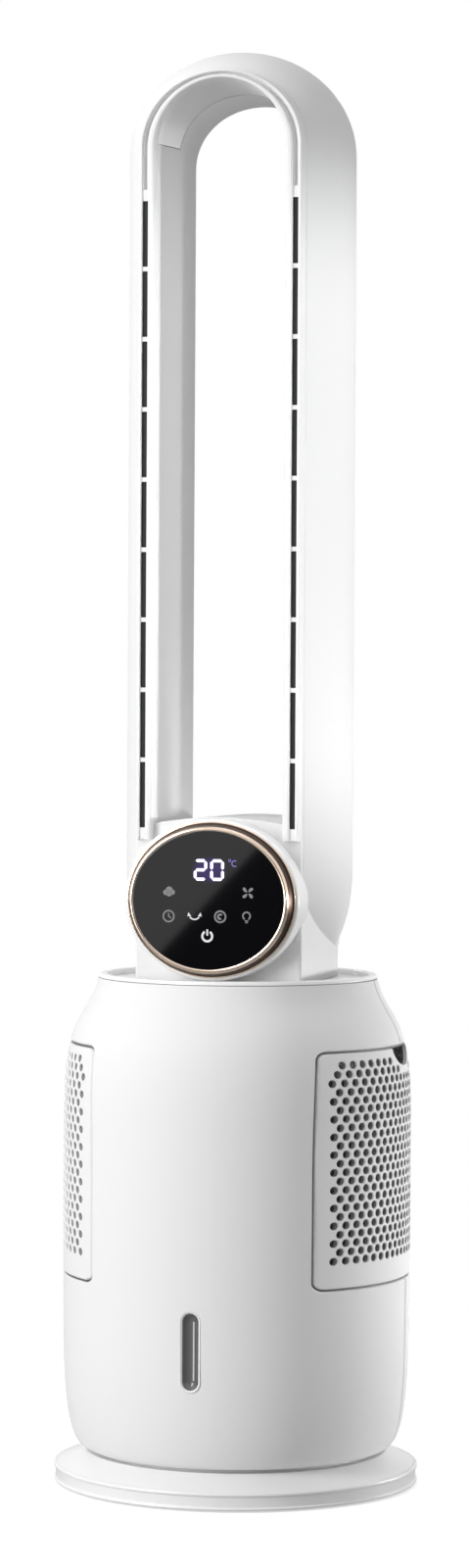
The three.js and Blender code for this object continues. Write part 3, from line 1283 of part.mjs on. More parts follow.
function grooveCut() {
  const half = GROOVE_WIDTH / 2;
  const slotsTop = SLOT_BOTTOM + SLOT_COUNT * (SLOT_LENGTH + SLOT_BRIDGE) - SLOT_BRIDGE;
  const floorY = VALLEY_Y + GROOVE_DEPTH;
  const section = [
    [SLOT_OFFSET - half, LIP_Y - 2], [SLOT_OFFSET + half, LIP_Y - 2],
    [SLOT_OFFSET + half, floorY], [SLOT_OFFSET - half, floorY],
  ];
  return archSweep(section, ARCH_MIDDLE - slotsTop - GROOVE_GAP);
}

function loopFront() {
  const ahead = block([-FAR, -FAR, -1], [FAR, LOOP_SPLIT_Y - SPLIT_GAP / 2, LOOP_HEIGHT + 1]);
  const cableHole = rodBetween(
    [0, NECK_FRONT_Y - 2, DISPLAY_HEIGHT], [0, LOOP_SPLIT_Y + 2, DISPLAY_HEIGHT], CABLE_HOLE_RADIUS, 16);
  return loopForm.intersect(ahead).subtract(slotCuts()).subtract(grooveCut()).subtract(cableHole);
}

// The space that the arch liner fills in the inner wall, grown by a gap
function linerSpace(gap) {
  const draft = (y) => REAR_DRAFT * (y - VALLEY_Y) / (LOOP_REAR_Y - REAR_ROUNDING - VALLEY_Y);
  const [frontY, rearY] = [LOOP_SPLIT_Y + SPLIT_GAP / 2 - gap, LINER_REAR_Y + gap];
  const section = [
    [-draft(frontY) - 3, frontY], [LINER_THICKNESS - draft(frontY) + gap, frontY],
    [LINER_THICKNESS - draft(rearY) + gap, rearY], [-draft(rearY) - 3, rearY],
  ];
  return archSweep(section, LINER_DROP + gap);
}

function loopRear() {
  const behind = block([-FAR, LOOP_SPLIT_Y + SPLIT_GAP / 2, -1], [FAR, FAR, LOOP_HEIGHT + 1]);
  const cavity = loopSweep(() => cavitySection(), WALL).add(neckForm(WALL, -1, LIP_Y - 2));
  return loopForm.intersect(behind).subtract(cavity).subtract(linerSpace(CLEARANCE));
}

function archLiner() {
  return loopForm.intersect(linerSpace(0));
}

function addLoop(parent) {
  piece(parent, 'loop_front_frame', loopFront(), whiteTrim);
  piece(parent, 'loop_rear_shell', loopRear(), whiteShell);
  piece(parent, 'arch_liner', archLiner(), whiteTrim);
}

// ---------------------------------------------------------------------------
// Display: white drum wrapped on the neck, rose-gold bezel, black touch glass, board
// ---------------------------------------------------------------------------

const BEZEL_HALF_WIDTH = DISPLAY_HALF_WIDTH - DISPLAY_WALL;
const BEZEL_HALF_HEIGHT = DISPLAY_HALF_HEIGHT - DISPLAY_WALL;

// A drum with an elliptical face, smaller all round by an inset
const drum = (inset, rearY, frontY, steps = 16) => solid(frontal(
  ellipse(DISPLAY_HALF_WIDTH - inset, DISPLAY_HALF_HEIGHT - inset, DISPLAY_HEIGHT), rearY, frontY, steps));

function displayHousing() {
  const neck = neckForm(-CLEARANCE, 0, NECK_FRONT_Y - CLEARANCE);
  const loop = loopSweep((beads) => formSection(CLEARANCE, beads), -CLEARANCE);
  const backWall = NECK_FRONT_Y - CLEARANCE - DISPLAY_WALL;
  const pocket = drum(DISPLAY_WALL + CLEARANCE, backWall, DISPLAY_FRONT_Y - 1);
  const cableHole = rodBetween(
    [0, backWall - 2, DISPLAY_HEIGHT], [0, NECK_FRONT_Y + 2, DISPLAY_HEIGHT], CABLE_HOLE_RADIUS, 16);
  return drum(0, DISPLAY_WRAP_Y, DISPLAY_FRONT_Y).subtract(neck).subtract(loop).subtract(pocket)
    .subtract(cableHole);
}

// The bezel rises forwards and inwards from the drum's edge to the glass
function bezelRing() {
  const rise = [
    [DISPLAY_WALL + 2 * CLEARANCE, DISPLAY_FRONT_Y],
    [DISPLAY_WALL + BEZEL_WIDTH * 0.5, DISPLAY_FRONT_Y - BEZEL_RISE * 0.8],
    [DISPLAY_WALL + BEZEL_WIDTH, DISPLAY_FRONT_Y - BEZEL_RISE],
  ];
  const stations = (insets) => insets.map(([inset, y]) => ({
    outline: around(32).map((angle) => new THREE.Vector2(
      (DISPLAY_HALF_WIDTH - inset) * Math.cos(angle), (DISPLAY_HALF_HEIGHT - inset) * Math.sin(angle))),
    y,
  }));
  const place = (point, station) => [point.x, station.y, point.y + DISPLAY_HEIGHT];
  const seatY = DISPLAY_FRONT_Y + 4;
  const outer = lofted(stations([[rise[0][0], seatY], ...rise]), place);
  const hole = DISPLAY_WALL + BEZEL_WIDTH + 0.6;
  const bore = lofted(stations([[hole, seatY + 1], [hole, DISPLAY_FRONT_Y - BEZEL_RISE - 1]]), place);
  return outer.subtract(bore);
}

function addDisplay(parent) {
  const hole = DISPLAY_WALL + BEZEL_WIDTH + 0.6;
  const glassRear = DISPLAY_FRONT_Y - BEZEL_RISE + GLASS_THICKNESS;
  piece(parent, 'display_housing', displayHousing(), whiteShell);
  piece(parent, 'bezel_ring', bezelRing(), roseGold);
  piece(parent, 'display_glass', drum(hole + CLEARANCE, glassRear, glassRear - GLASS_THICKNESS), blackGlass);
  const boardRear = glassRear + CLEARANCE + BOARD_THICKNESS;
  piece(parent, 'display_board', drum(hole + CLEARANCE, boardRear, glassRear + CLEARANCE, 8), circuitBoard);
}

// ---------------------------------------------------------------------------
// The whole fan
// ---------------------------------------------------------------------------

const group = new THREE.Group();

const base = subgroup(group);
addBase(base);
addSwingBase(base);

const tower = subgroup(group, [0, 0, BODY_FOOT]);
addSwingTower(tower);
addShells(tower);
addWindow(tower);
piece(tower, 'control_board', controlBoard(), circuitBoard, [0, -50, FLOOR_TOP + CLEARANCE]);
addWater(tower);
addSide(tower, 'right', 0);
addSide(tower, 'left', Math.PI);
addBlower(tower);
piece(tower, 'deck_rim', deckRim(), whiteTrim);
piece(tower, 'deck_plate', deckPlate(), whiteShell);

const head = subgroup(tower, [0, 0, NECK_FOOT]);
addLoop(head);
addDisplay(head);

export default group;
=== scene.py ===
import json
import math

import bmesh
import bpy
import numpy as np
from mathutils import Matrix, Vector


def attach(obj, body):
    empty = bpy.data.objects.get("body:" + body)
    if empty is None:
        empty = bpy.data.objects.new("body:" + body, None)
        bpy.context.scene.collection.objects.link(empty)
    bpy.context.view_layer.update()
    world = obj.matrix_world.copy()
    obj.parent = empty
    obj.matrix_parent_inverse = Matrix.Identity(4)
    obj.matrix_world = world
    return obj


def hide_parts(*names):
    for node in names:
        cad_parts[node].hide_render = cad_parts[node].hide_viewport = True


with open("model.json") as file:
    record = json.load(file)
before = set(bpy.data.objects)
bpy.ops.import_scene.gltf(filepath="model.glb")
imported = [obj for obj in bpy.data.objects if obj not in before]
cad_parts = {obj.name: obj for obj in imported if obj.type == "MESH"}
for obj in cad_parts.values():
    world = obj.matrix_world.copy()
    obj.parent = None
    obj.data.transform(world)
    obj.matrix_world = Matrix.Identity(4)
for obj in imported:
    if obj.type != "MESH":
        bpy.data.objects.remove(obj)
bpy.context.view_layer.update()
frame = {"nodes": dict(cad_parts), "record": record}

MM = 0.001
FINE = 1.0
ROUND, SHARP = 240, 35.0
ARCH_STEPS = 72
STRIP_STEPS = 72

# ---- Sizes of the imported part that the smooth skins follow, in millimetres ----

WALL = 2.6
BODY_FOOT, BODY_TOP = 24.4, 347.0
BODY_R, FOOT_R, TOP_R = 119.3, 101.5, 95.4
FOOT_LIP = 6.0
SHELL_TOP = BODY_TOP - 1.7
SHELL_GAP = 0.12
SHOULDER = 92.0
DECK = 344.4

GRILLE_LOW, GRILLE_HIGH = 144.9, 300.7
GRILLE_SIDE = [(GRILLE_LOW, 89.5), (225.0, 89.5), (250.0, 89.2), (272.0, 88.3), (286.0, 86.8),
               (GRILLE_HIGH, 83.6)]
PANEL_CORNER = 5.0
PANEL_GAP, PANEL_CHAMFER, OPENING_CHAMFER = 1.6, 0.5, 0.9
NOTCH_HALF, NOTCH_DEEP, NOTCH_CLEAR = 20.0, 12.5, 3.4
HOLE_PITCH, ROW_PITCH, ROW_TOP, ROWS = 7.62, 5.9, 292.85, 23
# The last share sizes the grey sleeves that paint shade inside the holes, against the hole's radius.
HOLE_R, HOLE_MOUTH, MOUTH_DEEP, PAINTED_SHADE_SHARE = 2.55, 2.88, 0.6, 0.98

FASCIA_LOW, FASCIA_HIGH, FASCIA_HALF = 59.7, 139.4, 60.5
FASCIA_SIDE = [(FASCIA_LOW, FASCIA_HALF), (FASCIA_HIGH, FASCIA_HALF)]
GRIP_HALF, GRIP_DEEP = 22.0, 11.0

WINDOW_Z, WINDOW_W, WINDOW_H = BODY_FOOT + 80.2, 14.0, 54.0
WINDOW_CLEAR, WINDOW_PROUD, LENS_INSET = 0.2, 0.25, 1.8
BASE_R, BASE_LOW, BASE_RIM, BASE_TOP = 125.0, 1.5, 12.8, 23.4
RING_IN, RING_OUT, RING_TOP = 108.4, 116.6, 2.2

NECK_FOOT = 344.7
NECK_HALF, NECK_FRONT = 58.0, -54.0
SADDLE_Z, SADDLE_R = NECK_FOOT + 111.6, 235.0
ARCH_Z, LOOP_HIGH = 907.25, 1100
LIP_R, CREASE, BULGE = 45.5, 11.9, 19.8
CREASE_Y, REAR_Y = -53.0, 59.0
LIP_Y, BEAD_Y, VALLEY_Y = -60.2, -59.2, -57.8
SPLIT_Y, SPLIT_GAP = -51.5, 0.1
SQUEEZE, SIDE_SQUEEZE, FLARE, FLARE_FROM = 0.5, 0.03, 6.6, 3.0
REAR_DRAFT, REAR_ROUND = 3.5, 3.0
TONGUE_TIP, TONGUE_FULL, TONGUE_Y, TONGUE_POWER = NECK_FOOT + 20.5, NECK_FOOT + 74.5, 46.0, 2.2
BEAD_START = NECK_FOOT + 96.5
SLOTS, SLOT_PITCH, SLOT_LENGTH, SLOT_HALF = 9, 47.3, 44.3, 2.0
SLOT_FOOT, SLOT_X = NECK_FOOT + 104.4, LIP_R + 6.8
SLOT_FEET = [SLOT_FOOT + i * SLOT_PITCH for i in range(SLOTS)]
GROOVE_START = SLOT_FOOT + SLOTS * SLOT_PITCH + 4.6
STRIP_REAR, STRIP_THICK, STRIP_GAP = 6.0, 1.4, 0.45

DISPLAY_Z, DISPLAY_W, DISPLAY_H = 401.5, 60.5, 54.5
DISPLAY_FRONT, DISPLAY_WRAP = -71.5, -44.0
GLASS_Y, GLASS_INSET = -80.0, 8.2

# ---- Materials ----


MAT = {}


def link(tree, a, b):
    tree.links.new(a, b)


def set_inputs(n, **values):
    """Sets inputs of a shader node. An underscore stands for a space in an input's name."""
    for key, value in values.items():
        n.inputs[key.replace("_", " ")].default_value = value
    return n


def add_node(tree, kind, **values):
    return set_inputs(tree.nodes.new("ShaderNode" + kind), **values)


def plastic_nodes(name):
    m = bpy.data.materials.new(name)
    m.use_nodes = True
    tree = m.node_tree
    return m, tree, tree.nodes["Principled BSDF"]


def bare_nodes(name):
    """A material with only its output."""
    m = bpy.data.materials.new(name)
    m.use_nodes = True
    m.node_tree.nodes.clear()
    return m, m.node_tree, add_node(m.node_tree, "OutputMaterial")


def object_coords(tree):
    return add_node(tree, "TexCoord").outputs["Object"]


def noise(tree, coords, scale, detail, rough=0.5):
    n = add_node(tree, "TexNoise", Scale=scale, Detail=detail, Roughness=rough)
    link(tree, coords, n.inputs["Vector"])
    return n.outputs["Fac"]


def mapped(tree, fac, low, high):
    n = add_node(tree, "MapRange", To_Min=low, To_Max=high)
    link(tree, fac, n.inputs["Value"])
    return n.outputs["Result"]


def faded(tree, coords, near, far, low=0.0, high=1.0):
    """A smooth change from low to high with the distance from the middle of the coordinates."""
    away = add_node(tree, "VectorMath")
    away.operation = "LENGTH"
    link(tree, coords, away.inputs[0])
    n = add_node(tree, "MapRange", From_Min=near, From_Max=far, To_Min=low, To_Max=high)
    n.interpolation_type = "SMOOTHERSTEP"
    link(tree, away.outputs["Value"], n.inputs["Value"])
    return n.outputs["Result"]


def blended(tree, fac, a, b):
    n = add_node(tree, "Mix")
    n.data_type = "RGBA"
    set_inputs(n, A=(*a, 1), B=(*b, 1))
    link(tree, fac, n.inputs["Factor"])
    return n.outputs["Result"]


def mixed(tree, fac, a, b):
    """A shader that goes from a to b with fac."""
    n = add_node(tree, "MixShader")
    link(tree, fac, n.inputs["Fac"])
    link(tree, a, n.inputs[1])
    link(tree, b, n.inputs[2])
    return n.outputs[0]


def added(tree, a, b):
    n = add_node(tree, "AddShader")
    link(tree, a, n.inputs[0])
    link(tree, b, n.inputs[1])
    return n.outputs[0]


def surface(name, colour, roughness, vary, grain, bump, metal=0.0, edge=0.0, rough_vary=0.08,
            brushed=None, extra=None):
    """Adds a moulded or metal surface: faint mottling, uneven gloss, fine grain, softened edges."""
    m, tree, bsdf = plastic_nodes(name)
    coords = object_coords(tree)
    grain_coords = coords
    if brushed:
        stretch = add_node(tree, "Mapping", Scale=brushed)
        link(tree, coords, stretch.inputs["Vector"])
        grain_coords = stretch.outputs["Vector"]
    fine = noise(tree, grain_coords, grain, 2.0)
    broad = noise(tree, coords, 9.0, 4.0, 0.6)
    smudge = noise(tree, coords, 28.0, 5.0, 0.65)
    darker = [c * (1 - vary) for c in colour]
    lighter = [min(1.0, c * (1 + vary)) for c in colour]
    link(tree, blended(tree, broad, darker, lighter), bsdf.inputs["Base Color"])
    link(tree, mapped(tree, smudge, roughness * (1 - rough_vary), roughness * (1 + rough_vary)),
         bsdf.inputs["Roughness"])
    set_inputs(bsdf, Metallic=metal, **(extra or {}))
    bumped = add_node(tree, "Bump", Strength=bump, Distance=0.0002)
    link(tree, fine, bumped.inputs["Height"])
    if edge:
        soft = add_node(tree, "Bevel", Radius=edge * MM)
        soft.samples = 4
        link(tree, soft.outputs["Normal"], bumped.inputs["Normal"])
    link(tree, bumped.outputs["Normal"], bsdf.inputs["Normal"])
    MAT[name] = m


def glowing(name, colour, strength):
    """A lit sign with a slightly uneven glow."""
    m, tree, bsdf = plastic_nodes(name)
    set_inputs(bsdf, Base_Color=(0.02, 0.02, 0.02, 1), Roughness=0.3, Emission_Strength=strength)
    uneven = noise(tree, object_coords(tree), 300.0, 2.0)
    link(tree, blended(tree, uneven, [c * 0.85 for c in colour], colour), bsdf.inputs["Emission Color"])
    return m


WHITE_SHINE = {"Specular IOR Level": 0.65}
surface("white_shell", (0.86, 0.86, 0.858), 0.31, 0.01, 1400, 0.03, edge=0.7, extra=WHITE_SHINE)
surface("white_trim", (0.88, 0.88, 0.878), 0.27, 0.01, 1400, 0.02, edge=0.5, extra=WHITE_SHINE)
surface("grey_plastic", (0.42, 0.43, 0.44), 0.5, 0.05, 700, 0.15)
surface("dark_plastic", (0.02, 0.02, 0.022), 0.5, 0.15, 700, 0.2)
# Dark grey for the rings in the panel gaps: painted shade.
surface("grey_seal", (0.12, 0.12, 0.122), 0.6, 0.05, 700, 0.15)
# A near-black sheet behind the grille holes: painted shade.
surface("painted_shade_backing", (0.05, 0.05, 0.052), 0.8, 0.3, 900, 0.9)
# Grey sleeves inside the grille holes: painted shade where the white hole walls fall into shadow.
surface("hole_lining", (0.24, 0.24, 0.243), 0.7, 0.1, 700, 0.15)
# A pale rod in the lens channel: a painted highlight streak.
surface("painted_highlight_tube", (0.62, 0.63, 0.64), 0.2, 0.03, 500, 0.02)
surface("slot_black", (0.006, 0.006, 0.006), 0.7, 0.2, 500, 0.2)
surface("rubber", (0.03, 0.03, 0.03), 0.8, 0.2, 500, 0.3)
surface("steel", (0.52, 0.53, 0.55), 0.35, 0.05, 500, 0.15, metal=1.0, brushed=(1, 1, 0.05))
surface("gear_plastic", (0.72, 0.69, 0.6), 0.5, 0.05, 700, 0.1)
surface("wet_pad", (0.3, 0.31, 0.28), 0.95, 0.3, 260, 0.9)
surface("clear_plastic", (0.8, 0.86, 0.9), 0.12, 0.02, 300, 0.02,
        extra={"Transmission Weight": 0.85, "IOR": 1.49})
surface("window_lens", (0.12, 0.12, 0.124), 0.1, 0.05, 300, 0.03)
surface("rose_gold", (0.76, 0.62, 0.51), 0.2, 0.03, 900, 0.03, metal=1.0, edge=0.2)
# A dark copy of the rose gold for the bezel's flank: painted shade.
surface("painted_shade_bronze", (0.06, 0.036, 0.026), 0.3, 0.08, 900, 0.04, metal=1.0)
surface("black_glass", (0.004, 0.004, 0.005), 0.03, 0.1, 600, 0.0, edge=0.2, rough_vary=0.2)
surface("circuit_board", (0.03, 0.16, 0.06), 0.45, 0.25, 300, 0.3)

SLOT_OF = {s["node"]: s["material_slot"] for s in frame["record"]["subparts"]}
for node_name, cad_node in frame["nodes"].items():
    cad_node.data.materials.clear()
    cad_node.data.materials.append(MAT[SLOT_OF[node_name]])

# ---- Mesh helpers ----


def add_object(name, data):
    ob = bpy.data.objects.new(name, data)
    bpy.context.scene.collection.objects.link(ob)
    return ob


def sheet(name, verts, faces, material, scale=1.0):
    """A mesh object from its points, as they are."""
    me = bpy.data.meshes.new(name)
    me.from_pydata([tuple(c * scale for c in v) for v in verts], [], [list(f) for f in faces])
    if material:
        me.materials.append(material)
    return add_object(name, me)


def make(name, verts, faces, look=None, angle=SHARP):
    """A closed skin in millimetres, welded, with its normals out and its edges sharp past the angle."""
    ob = sheet(name, verts, faces, MAT[look] if look else None, MM)
    bm = bmesh.new()
    bm.from_mesh(ob.data)
    bmesh.ops.remove_doubles(bm, verts=bm.verts, dist=2e-6)
    bmesh.ops.recalc_face_normals(bm, faces=bm.faces)
    bm.to_mesh(ob.data)
    bm.free()
    return shaded(ob, angle)


def shaded(ob, angle):
    ob.data.shade_smooth()
    ob.data.set_sharp_from_angle(angle=math.radians(angle))
    return ob


def combine(ob, tool, operation, angle=SHARP):
    """Joins, cuts or intersects ob with a closed tool, in place, and removes the tool."""
    mod = ob.modifiers.new("cut", "BOOLEAN")
    mod.solver = "MANIFOLD"
    mod.operation = operation
    mod.object = tool
    graph = bpy.context.evaluated_depsgraph_get()
    me = bpy.data.meshes.new_from_object(ob.evaluated_get(graph))
    ob.modifiers.clear()
    ob.data = me
    bpy.data.objects.remove(tool)
    return shaded(ob, angle)


def cut(ob, *tools, angle=SHARP):
    for tool in tools:
        combine(ob, tool, "DIFFERENCE", angle)
    return ob


def copy_of(ob, name):
    return add_object(name, ob.data.copy())


def polished(ob):
    """Shading that follows the large faces, so that cuts leave no dents."""
    mod = ob.modifiers.new("weighted", "WEIGHTED_NORMAL")
    mod.keep_sharp = True
    mod.weight = 60
    return ob


def piece(ob, body, slot, *stands_for):
    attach(ob, body)
    if stands_for:
        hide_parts(*stands_for)
    return ob


def turned(n, radius=1.0, cx=0.0, cz=0.0):
    """Points round a circle."""
    turns = [2 * math.pi * i / n for i in range(n)]
    return [(cx + radius * math.cos(t), cz + radius * math.sin(t)) for t in turns]


def rounded(points, radii, steps):
    """A closed outline with its corners rounded, by one radius or by a list of them."""
    out = []
    n = len(points)
    for i in range(n):
        r = radii[i] if hasattr(radii, "__len__") else radii
        p = np.array(points[i], float)
        a = np.array(points[i - 1], float) - p
        b = np.array(points[(i + 1) % n], float) - p
        la, lb = np.linalg.norm(a), np.linalg.norm(b)
        a, b = a / la, b / lb
        angle = math.acos(max(-1.0, min(1.0, float(a @ b))))
        if r <= 0 or angle > math.radians(175):
            out.append(tuple(p))
            continue
        reach = min(r / math.tan(angle / 2), la * 0.48, lb * 0.48)
        real = reach * math.tan(angle / 2)
        middle = (a + b) / np.linalg.norm(a + b)
        centre = p + middle * real / math.sin(angle / 2)
        v0, v1 = p + a * reach - centre, p + b * reach - centre
        turn = math.pi - angle
        for k in range(steps + 1):
            s = k / steps
            v = (math.sin((1 - s) * turn) * v0 + math.sin(s * turn) * v1) / math.sin(turn)
            out.append(tuple(centre + v))
    return out


def cornered(corners, steps):
    """A closed outline from corners of (across, up, radius)."""
    return rounded([c[:2] for c in corners], [c[2] for c in corners], steps)


def skin(name, rings, look=None, angle=SHARP, around=False):
    """A skin over rings of equally many points: with flat ends, or from the last ring back to the first."""
    n = len(rings[0])
    if around:
        rings = rings + [rings[0]]
    verts = [p for ring in rings for p in ring]
    faces = []
    for i in range(len(rings) - 1):
        for j in range(n):
            k = (j + 1) % n
            faces.append((i * n + j, i * n + k, (i + 1) * n + k, (i + 1) * n + j))
    if not around:
        faces.append(tuple(reversed(range(n))))
        last = (len(rings) - 1) * n
        faces.append(tuple(last + j for j in range(n)))
    return make(name, verts, faces, look, angle)


def lathe(name, outline, segments, look=None):
    """An outline of (radius, height) turned round Z."""
    segments, m = int(segments * FINE), len(outline)
    verts = [(r * x, r * y, z) for x, y in turned(segments) for r, z in outline]
    faces = []
    for i in range(segments):
        j = (i + 1) % segments
        for k in range(m):
            n = (k + 1) % m
            faces.append((i * m + k, j * m + k, j * m + n, i * m + n))
    return make(name, verts, faces, look)


def prism(name, outline, axis, low, high, look=None, angle=SHARP):
    """An outline pushed along X (outline in Y, Z), Y (in X, Z) or Z (in X, Y)."""
    place = {
        "X": lambda p, d: (d, p[0], p[1]),
        "Y": lambda p, d: (p[0], d, p[1]),
        "Z": lambda p, d: (p[0], p[1], d),
    }[axis]
    return skin(name, [[place(p, d) for p in outline] for d in (low, high)], look, angle)


def box(name, low, high):
    (x0, y0, z0), (x1, y1, z1) = low, high
    return prism(name, [(x0, y0), (x1, y0), (x1, y1), (x0, y1)], "Z", z0, z1)


def ellipse(w, h, cz, n):
    return [(w * x, cz + h * z) for x, z in turned(n)]


def stadium(w, h, cz):
    r, s, n = w / 2, h / 2 - w / 2, 20
    turns = [math.pi * i / n for i in range(n + 1)]
    top = [(r * math.cos(t), cz + s + r * math.sin(t)) for t in turns]
    low = [(-r * math.cos(t), cz - s - r * math.sin(t)) for t in turns]
    return top + low


def bezier(p0, p1, p2, p3, steps):
    out = []
    for i in range(steps + 1):
        t = i / steps
        w = ((1 - t) ** 3, 3 * t * (1 - t) ** 2, 3 * t * t * (1 - t), t ** 3)
        out.append(tuple(sum(k * p[j] for k, p in zip(w, (p0, p1, p2, p3))) for j in (0, 1)))
    return out


# ---- Body: outline, shells and drawer front ----

OUTLINE = bezier((FOOT_R, BODY_FOOT), (BODY_R - 6.3, BODY_FOOT), (BODY_R - 0.8, BODY_FOOT + 20.96),
                 (BODY_R - 0.5, BODY_FOOT + 80.6), 14)
OUTLINE += [(BODY_R - 0.15, 155.0), (BODY_R, 190.0)]
OUTLINE += bezier((BODY_R - 0.1, BODY_TOP - SHOULDER), (BODY_R, BODY_TOP - SHOULDER * 0.23),
                  (TOP_R + 6.6, BODY_TOP - SHOULDER * 0.34), (TOP_R, BODY_TOP), 28)
OUT_R = np.array([p[0] for p in OUTLINE])
OUT_Z = np.array([p[1] for p in OUTLINE])
END_CLEAR = 0.5
FAR, ABOVE_BODY = 150, 400
INSIDE, OUTSIDE = 60, 140


def body_r(z):
    return float(np.interp(z, OUT_Z, OUT_R))


def outward(co):
    """Normals of the body's outline at points in metres, pointing out."""
    z, step = co[:, 2] / MM, 1.5
    slope = (np.interp(z + step, OUT_Z, OUT_R) - np.interp(z - step, OUT_Z, OUT_R)) / (2 * step)
    flat = np.hypot(co[:, 0], co[:, 1])
    n = np.stack([co[:, 0] / flat, co[:, 1] / flat, -slope], 1)
    return n / np.linalg.norm(n, axis=1)[:, None]


def read(items, key, width, kind):
    """One attribute of all items of a mesh, as rows."""
    values = np.empty(len(items) * width, kind)
    items.foreach_get(key, values)
    return values.reshape(-1, width) if width > 1 else values


def true_normals(ob):
    """Shades the faces that lie on the body's outline as that outline, and the others flat."""
    me, limit = ob.data, 0.9
    me.shade_smooth()
    co = read(me.vertices, "co", 3, np.float32).astype(float)
    vert = read(me.loops, "vertex_index", 1, np.int32)
    total = read(me.polygons, "loop_total", 1, np.int32)
    face_n = np.repeat(read(me.polygons, "normal", 3, np.float32).astype(float), total, axis=0)
    ideal = outward(co[vert])
    along = (ideal * face_n).sum(1)[:, None]
    normals = np.where(along > limit, ideal, np.where(along < -limit, -ideal, face_n))
    me.normals_split_custom_set(normals.tolist())


def wall_piece(ob, body, node):
    """Finishes a cut piece of the white wall."""
    true_normals(ob)
    ob.data.materials.append(MAT["white_shell"])
    return piece(ob, body, "white_shell", node)


def body_wall(name, low=None, high=SHELL_TOP):
    """The moulded wall as a closed ring, with its foot lip when it runs to the foot."""
    outer = [p for p in OUTLINE if (low is None or p[1] > low + END_CLEAR) and p[1] < high - END_CLEAR]
    if low is not None:
        outer = [(body_r(low), low)] + outer
    outer.append((body_r(high), high))
    inner = [(r - WALL, z) for r, z in outer if low is not None or z > BODY_FOOT + 5][::-1]
    lip = []
    if low is None:
        bend, end = BODY_FOOT + 3.6, FOOT_R - FOOT_LIP
        lip = [(body_r(bend) - WALL, bend), (end, BODY_FOOT + WALL), (end, BODY_FOOT)]
    return lathe(name, outer + inner + lip, ROUND)


def panel_outline(side, margin):
    """A panel's outline across and up; side lists its half width at each height, from its foot to its top."""
    up = [(half + margin, z) for z, half in side]
    up[0] = (up[0][0], side[0][0] - margin)
    up[-1] = (up[-1][0], side[-1][0] + margin)
    r, clear, count = PANEL_CORNER + margin, 14, 26
    over = [(w, up[-1][1]) for w in np.linspace(up[-1][0] - clear, clear - up[-1][0], count)]
    under = [(-w, up[0][1]) for w in np.linspace(up[0][0] - clear, clear - up[0][0], count)]
    radii = [r] + [0] * (len(side) - 2) + [r] + [0] * count
    return rounded(up + over + [(-w, z) for w, z in reversed(up)] + under, radii * 2, 8)


def on_wall(across, z, deep, axis="X", sign=1):
    """A point at a depth under the body's face; INSIDE and OUTSIDE are distances from the middle instead."""
    if deep in (INSIDE, OUTSIDE):
        out = sign * deep
    else:
        out = sign * math.sqrt((body_r(z) - deep) ** 2 - across * across)
    return (out, across, z) if axis == "X" else (across, out, z)


def panel_rings(side, axis, sign, steps):
    """Rings along a panel's outline for (margin, depth under the wall's face) steps."""
    return [[on_wall(a, z, deep, axis, sign) for a, z in panel_outline(side, margin)]
            for margin, deep in steps]


def chamfered_tool(side, axis, sign, margin, chamfer, lean):
    """A plug through the wall whose edge leans out or in at the wall's face."""
    proud = 0.3
    wide = margin + lean * (chamfer + proud)
    steps = [(margin, INSIDE), (margin, chamfer), (wide, -proud), (wide, OUTSIDE)]
    return skin("plug", panel_rings(side, axis, sign, steps))


def opening_tool(side, axis, sign):
    return chamfered_tool(side, axis, sign, PANEL_GAP, OPENING_CHAMFER, 1)


def panel_blank(side, axis, sign):
    return chamfered_tool(side, axis, sign, 0, PANEL_CHAMFER, -1)


def seam_tool(side):
    """A shallow V along the joint of the two shells."""
    half, deep, proud = 1.9, 1.3, 0.6
    line = [(r, z) for r, z in OUTLINE if z > BODY_FOOT + 3]
    line[-1] = (line[-1][0], line[-1][1] + 2)
    rings = []
    for r, z in line:
        mouth, floor_of_v = side * (r + proud), side * (r - deep)
        rings.append([(mouth, -half, z), (mouth, half, z), (floor_of_v, 0, z)])
    return skin("seam", rings)


def shells():
    whole = body_wall("wall")
    for side in (-1, 1):
        cut(whole, opening_tool(GRILLE_SIDE, "X", side), seam_tool(side))
    ahead = box("front_half", (-FAR, -FAR, 0), (FAR, -SHELL_GAP, ABOVE_BODY))
    behind = box("rear_half", (-FAR, SHELL_GAP, 0), (FAR, FAR, ABOVE_BODY))
    front = combine(copy_of(whole, "front_shell_skin"), ahead, "INTERSECT")
    rear = combine(copy_of(whole, "rear_shell_skin"), behind, "INTERSECT")
    bpy.data.objects.remove(whole)
    hole = stadium(WINDOW_W + WINDOW_CLEAR, WINDOW_H + WINDOW_CLEAR, WINDOW_Z)
    cut(front, prism("window_hole", hole, "Y", -OUTSIDE, -90))
    cut(rear, opening_tool(FASCIA_SIDE, "Y", 1))
    wall_piece(front, "tower", "front_shell")
    wall_piece(rear, "tower", "rear_shell")


def tank_front():
    fascia = combine(body_wall("tank_fascia_skin", FASCIA_LOW - 5, FASCIA_HIGH + 5),
                     panel_blank(FASCIA_SIDE, "Y", 1), "INTERSECT")
    cut(fascia, prism("grip", ellipse(GRIP_HALF, GRIP_DEEP, FASCIA_HIGH, 64), "Y", INSIDE, OUTSIDE))
    wall_piece(fascia, "tank", "tank_fascia")


# ---- Pierced side grilles, with dark rings, sleeves and sheets that paint the shade in their gaps and holes ----

ACROSS, UP, COLUMNS = 8, 4, 13
STEP_ACROSS, STEP_UP = HOLE_PITCH / ACROSS, ROW_PITCH / UP
LATTICE_FOOT = ROW_TOP - ROW_PITCH * (ROWS - 0.5)


def has_hole(from_top, y, z):
    """Whether this place of the pattern has a hole: within the row's reach and clear of the notch."""
    reach = 9.5 if from_top == 0 else (10.5, 10.0)[from_top % 2]
    if from_top < 0 or from_top >= ROWS or abs(y) > (reach + 0.1) * HOLE_PITCH:
        return False
    return math.hypot(y / (NOTCH_HALF + NOTCH_CLEAR), (GRILLE_HIGH - z) / (NOTCH_DEEP + NOTCH_CLEAR)) > 1


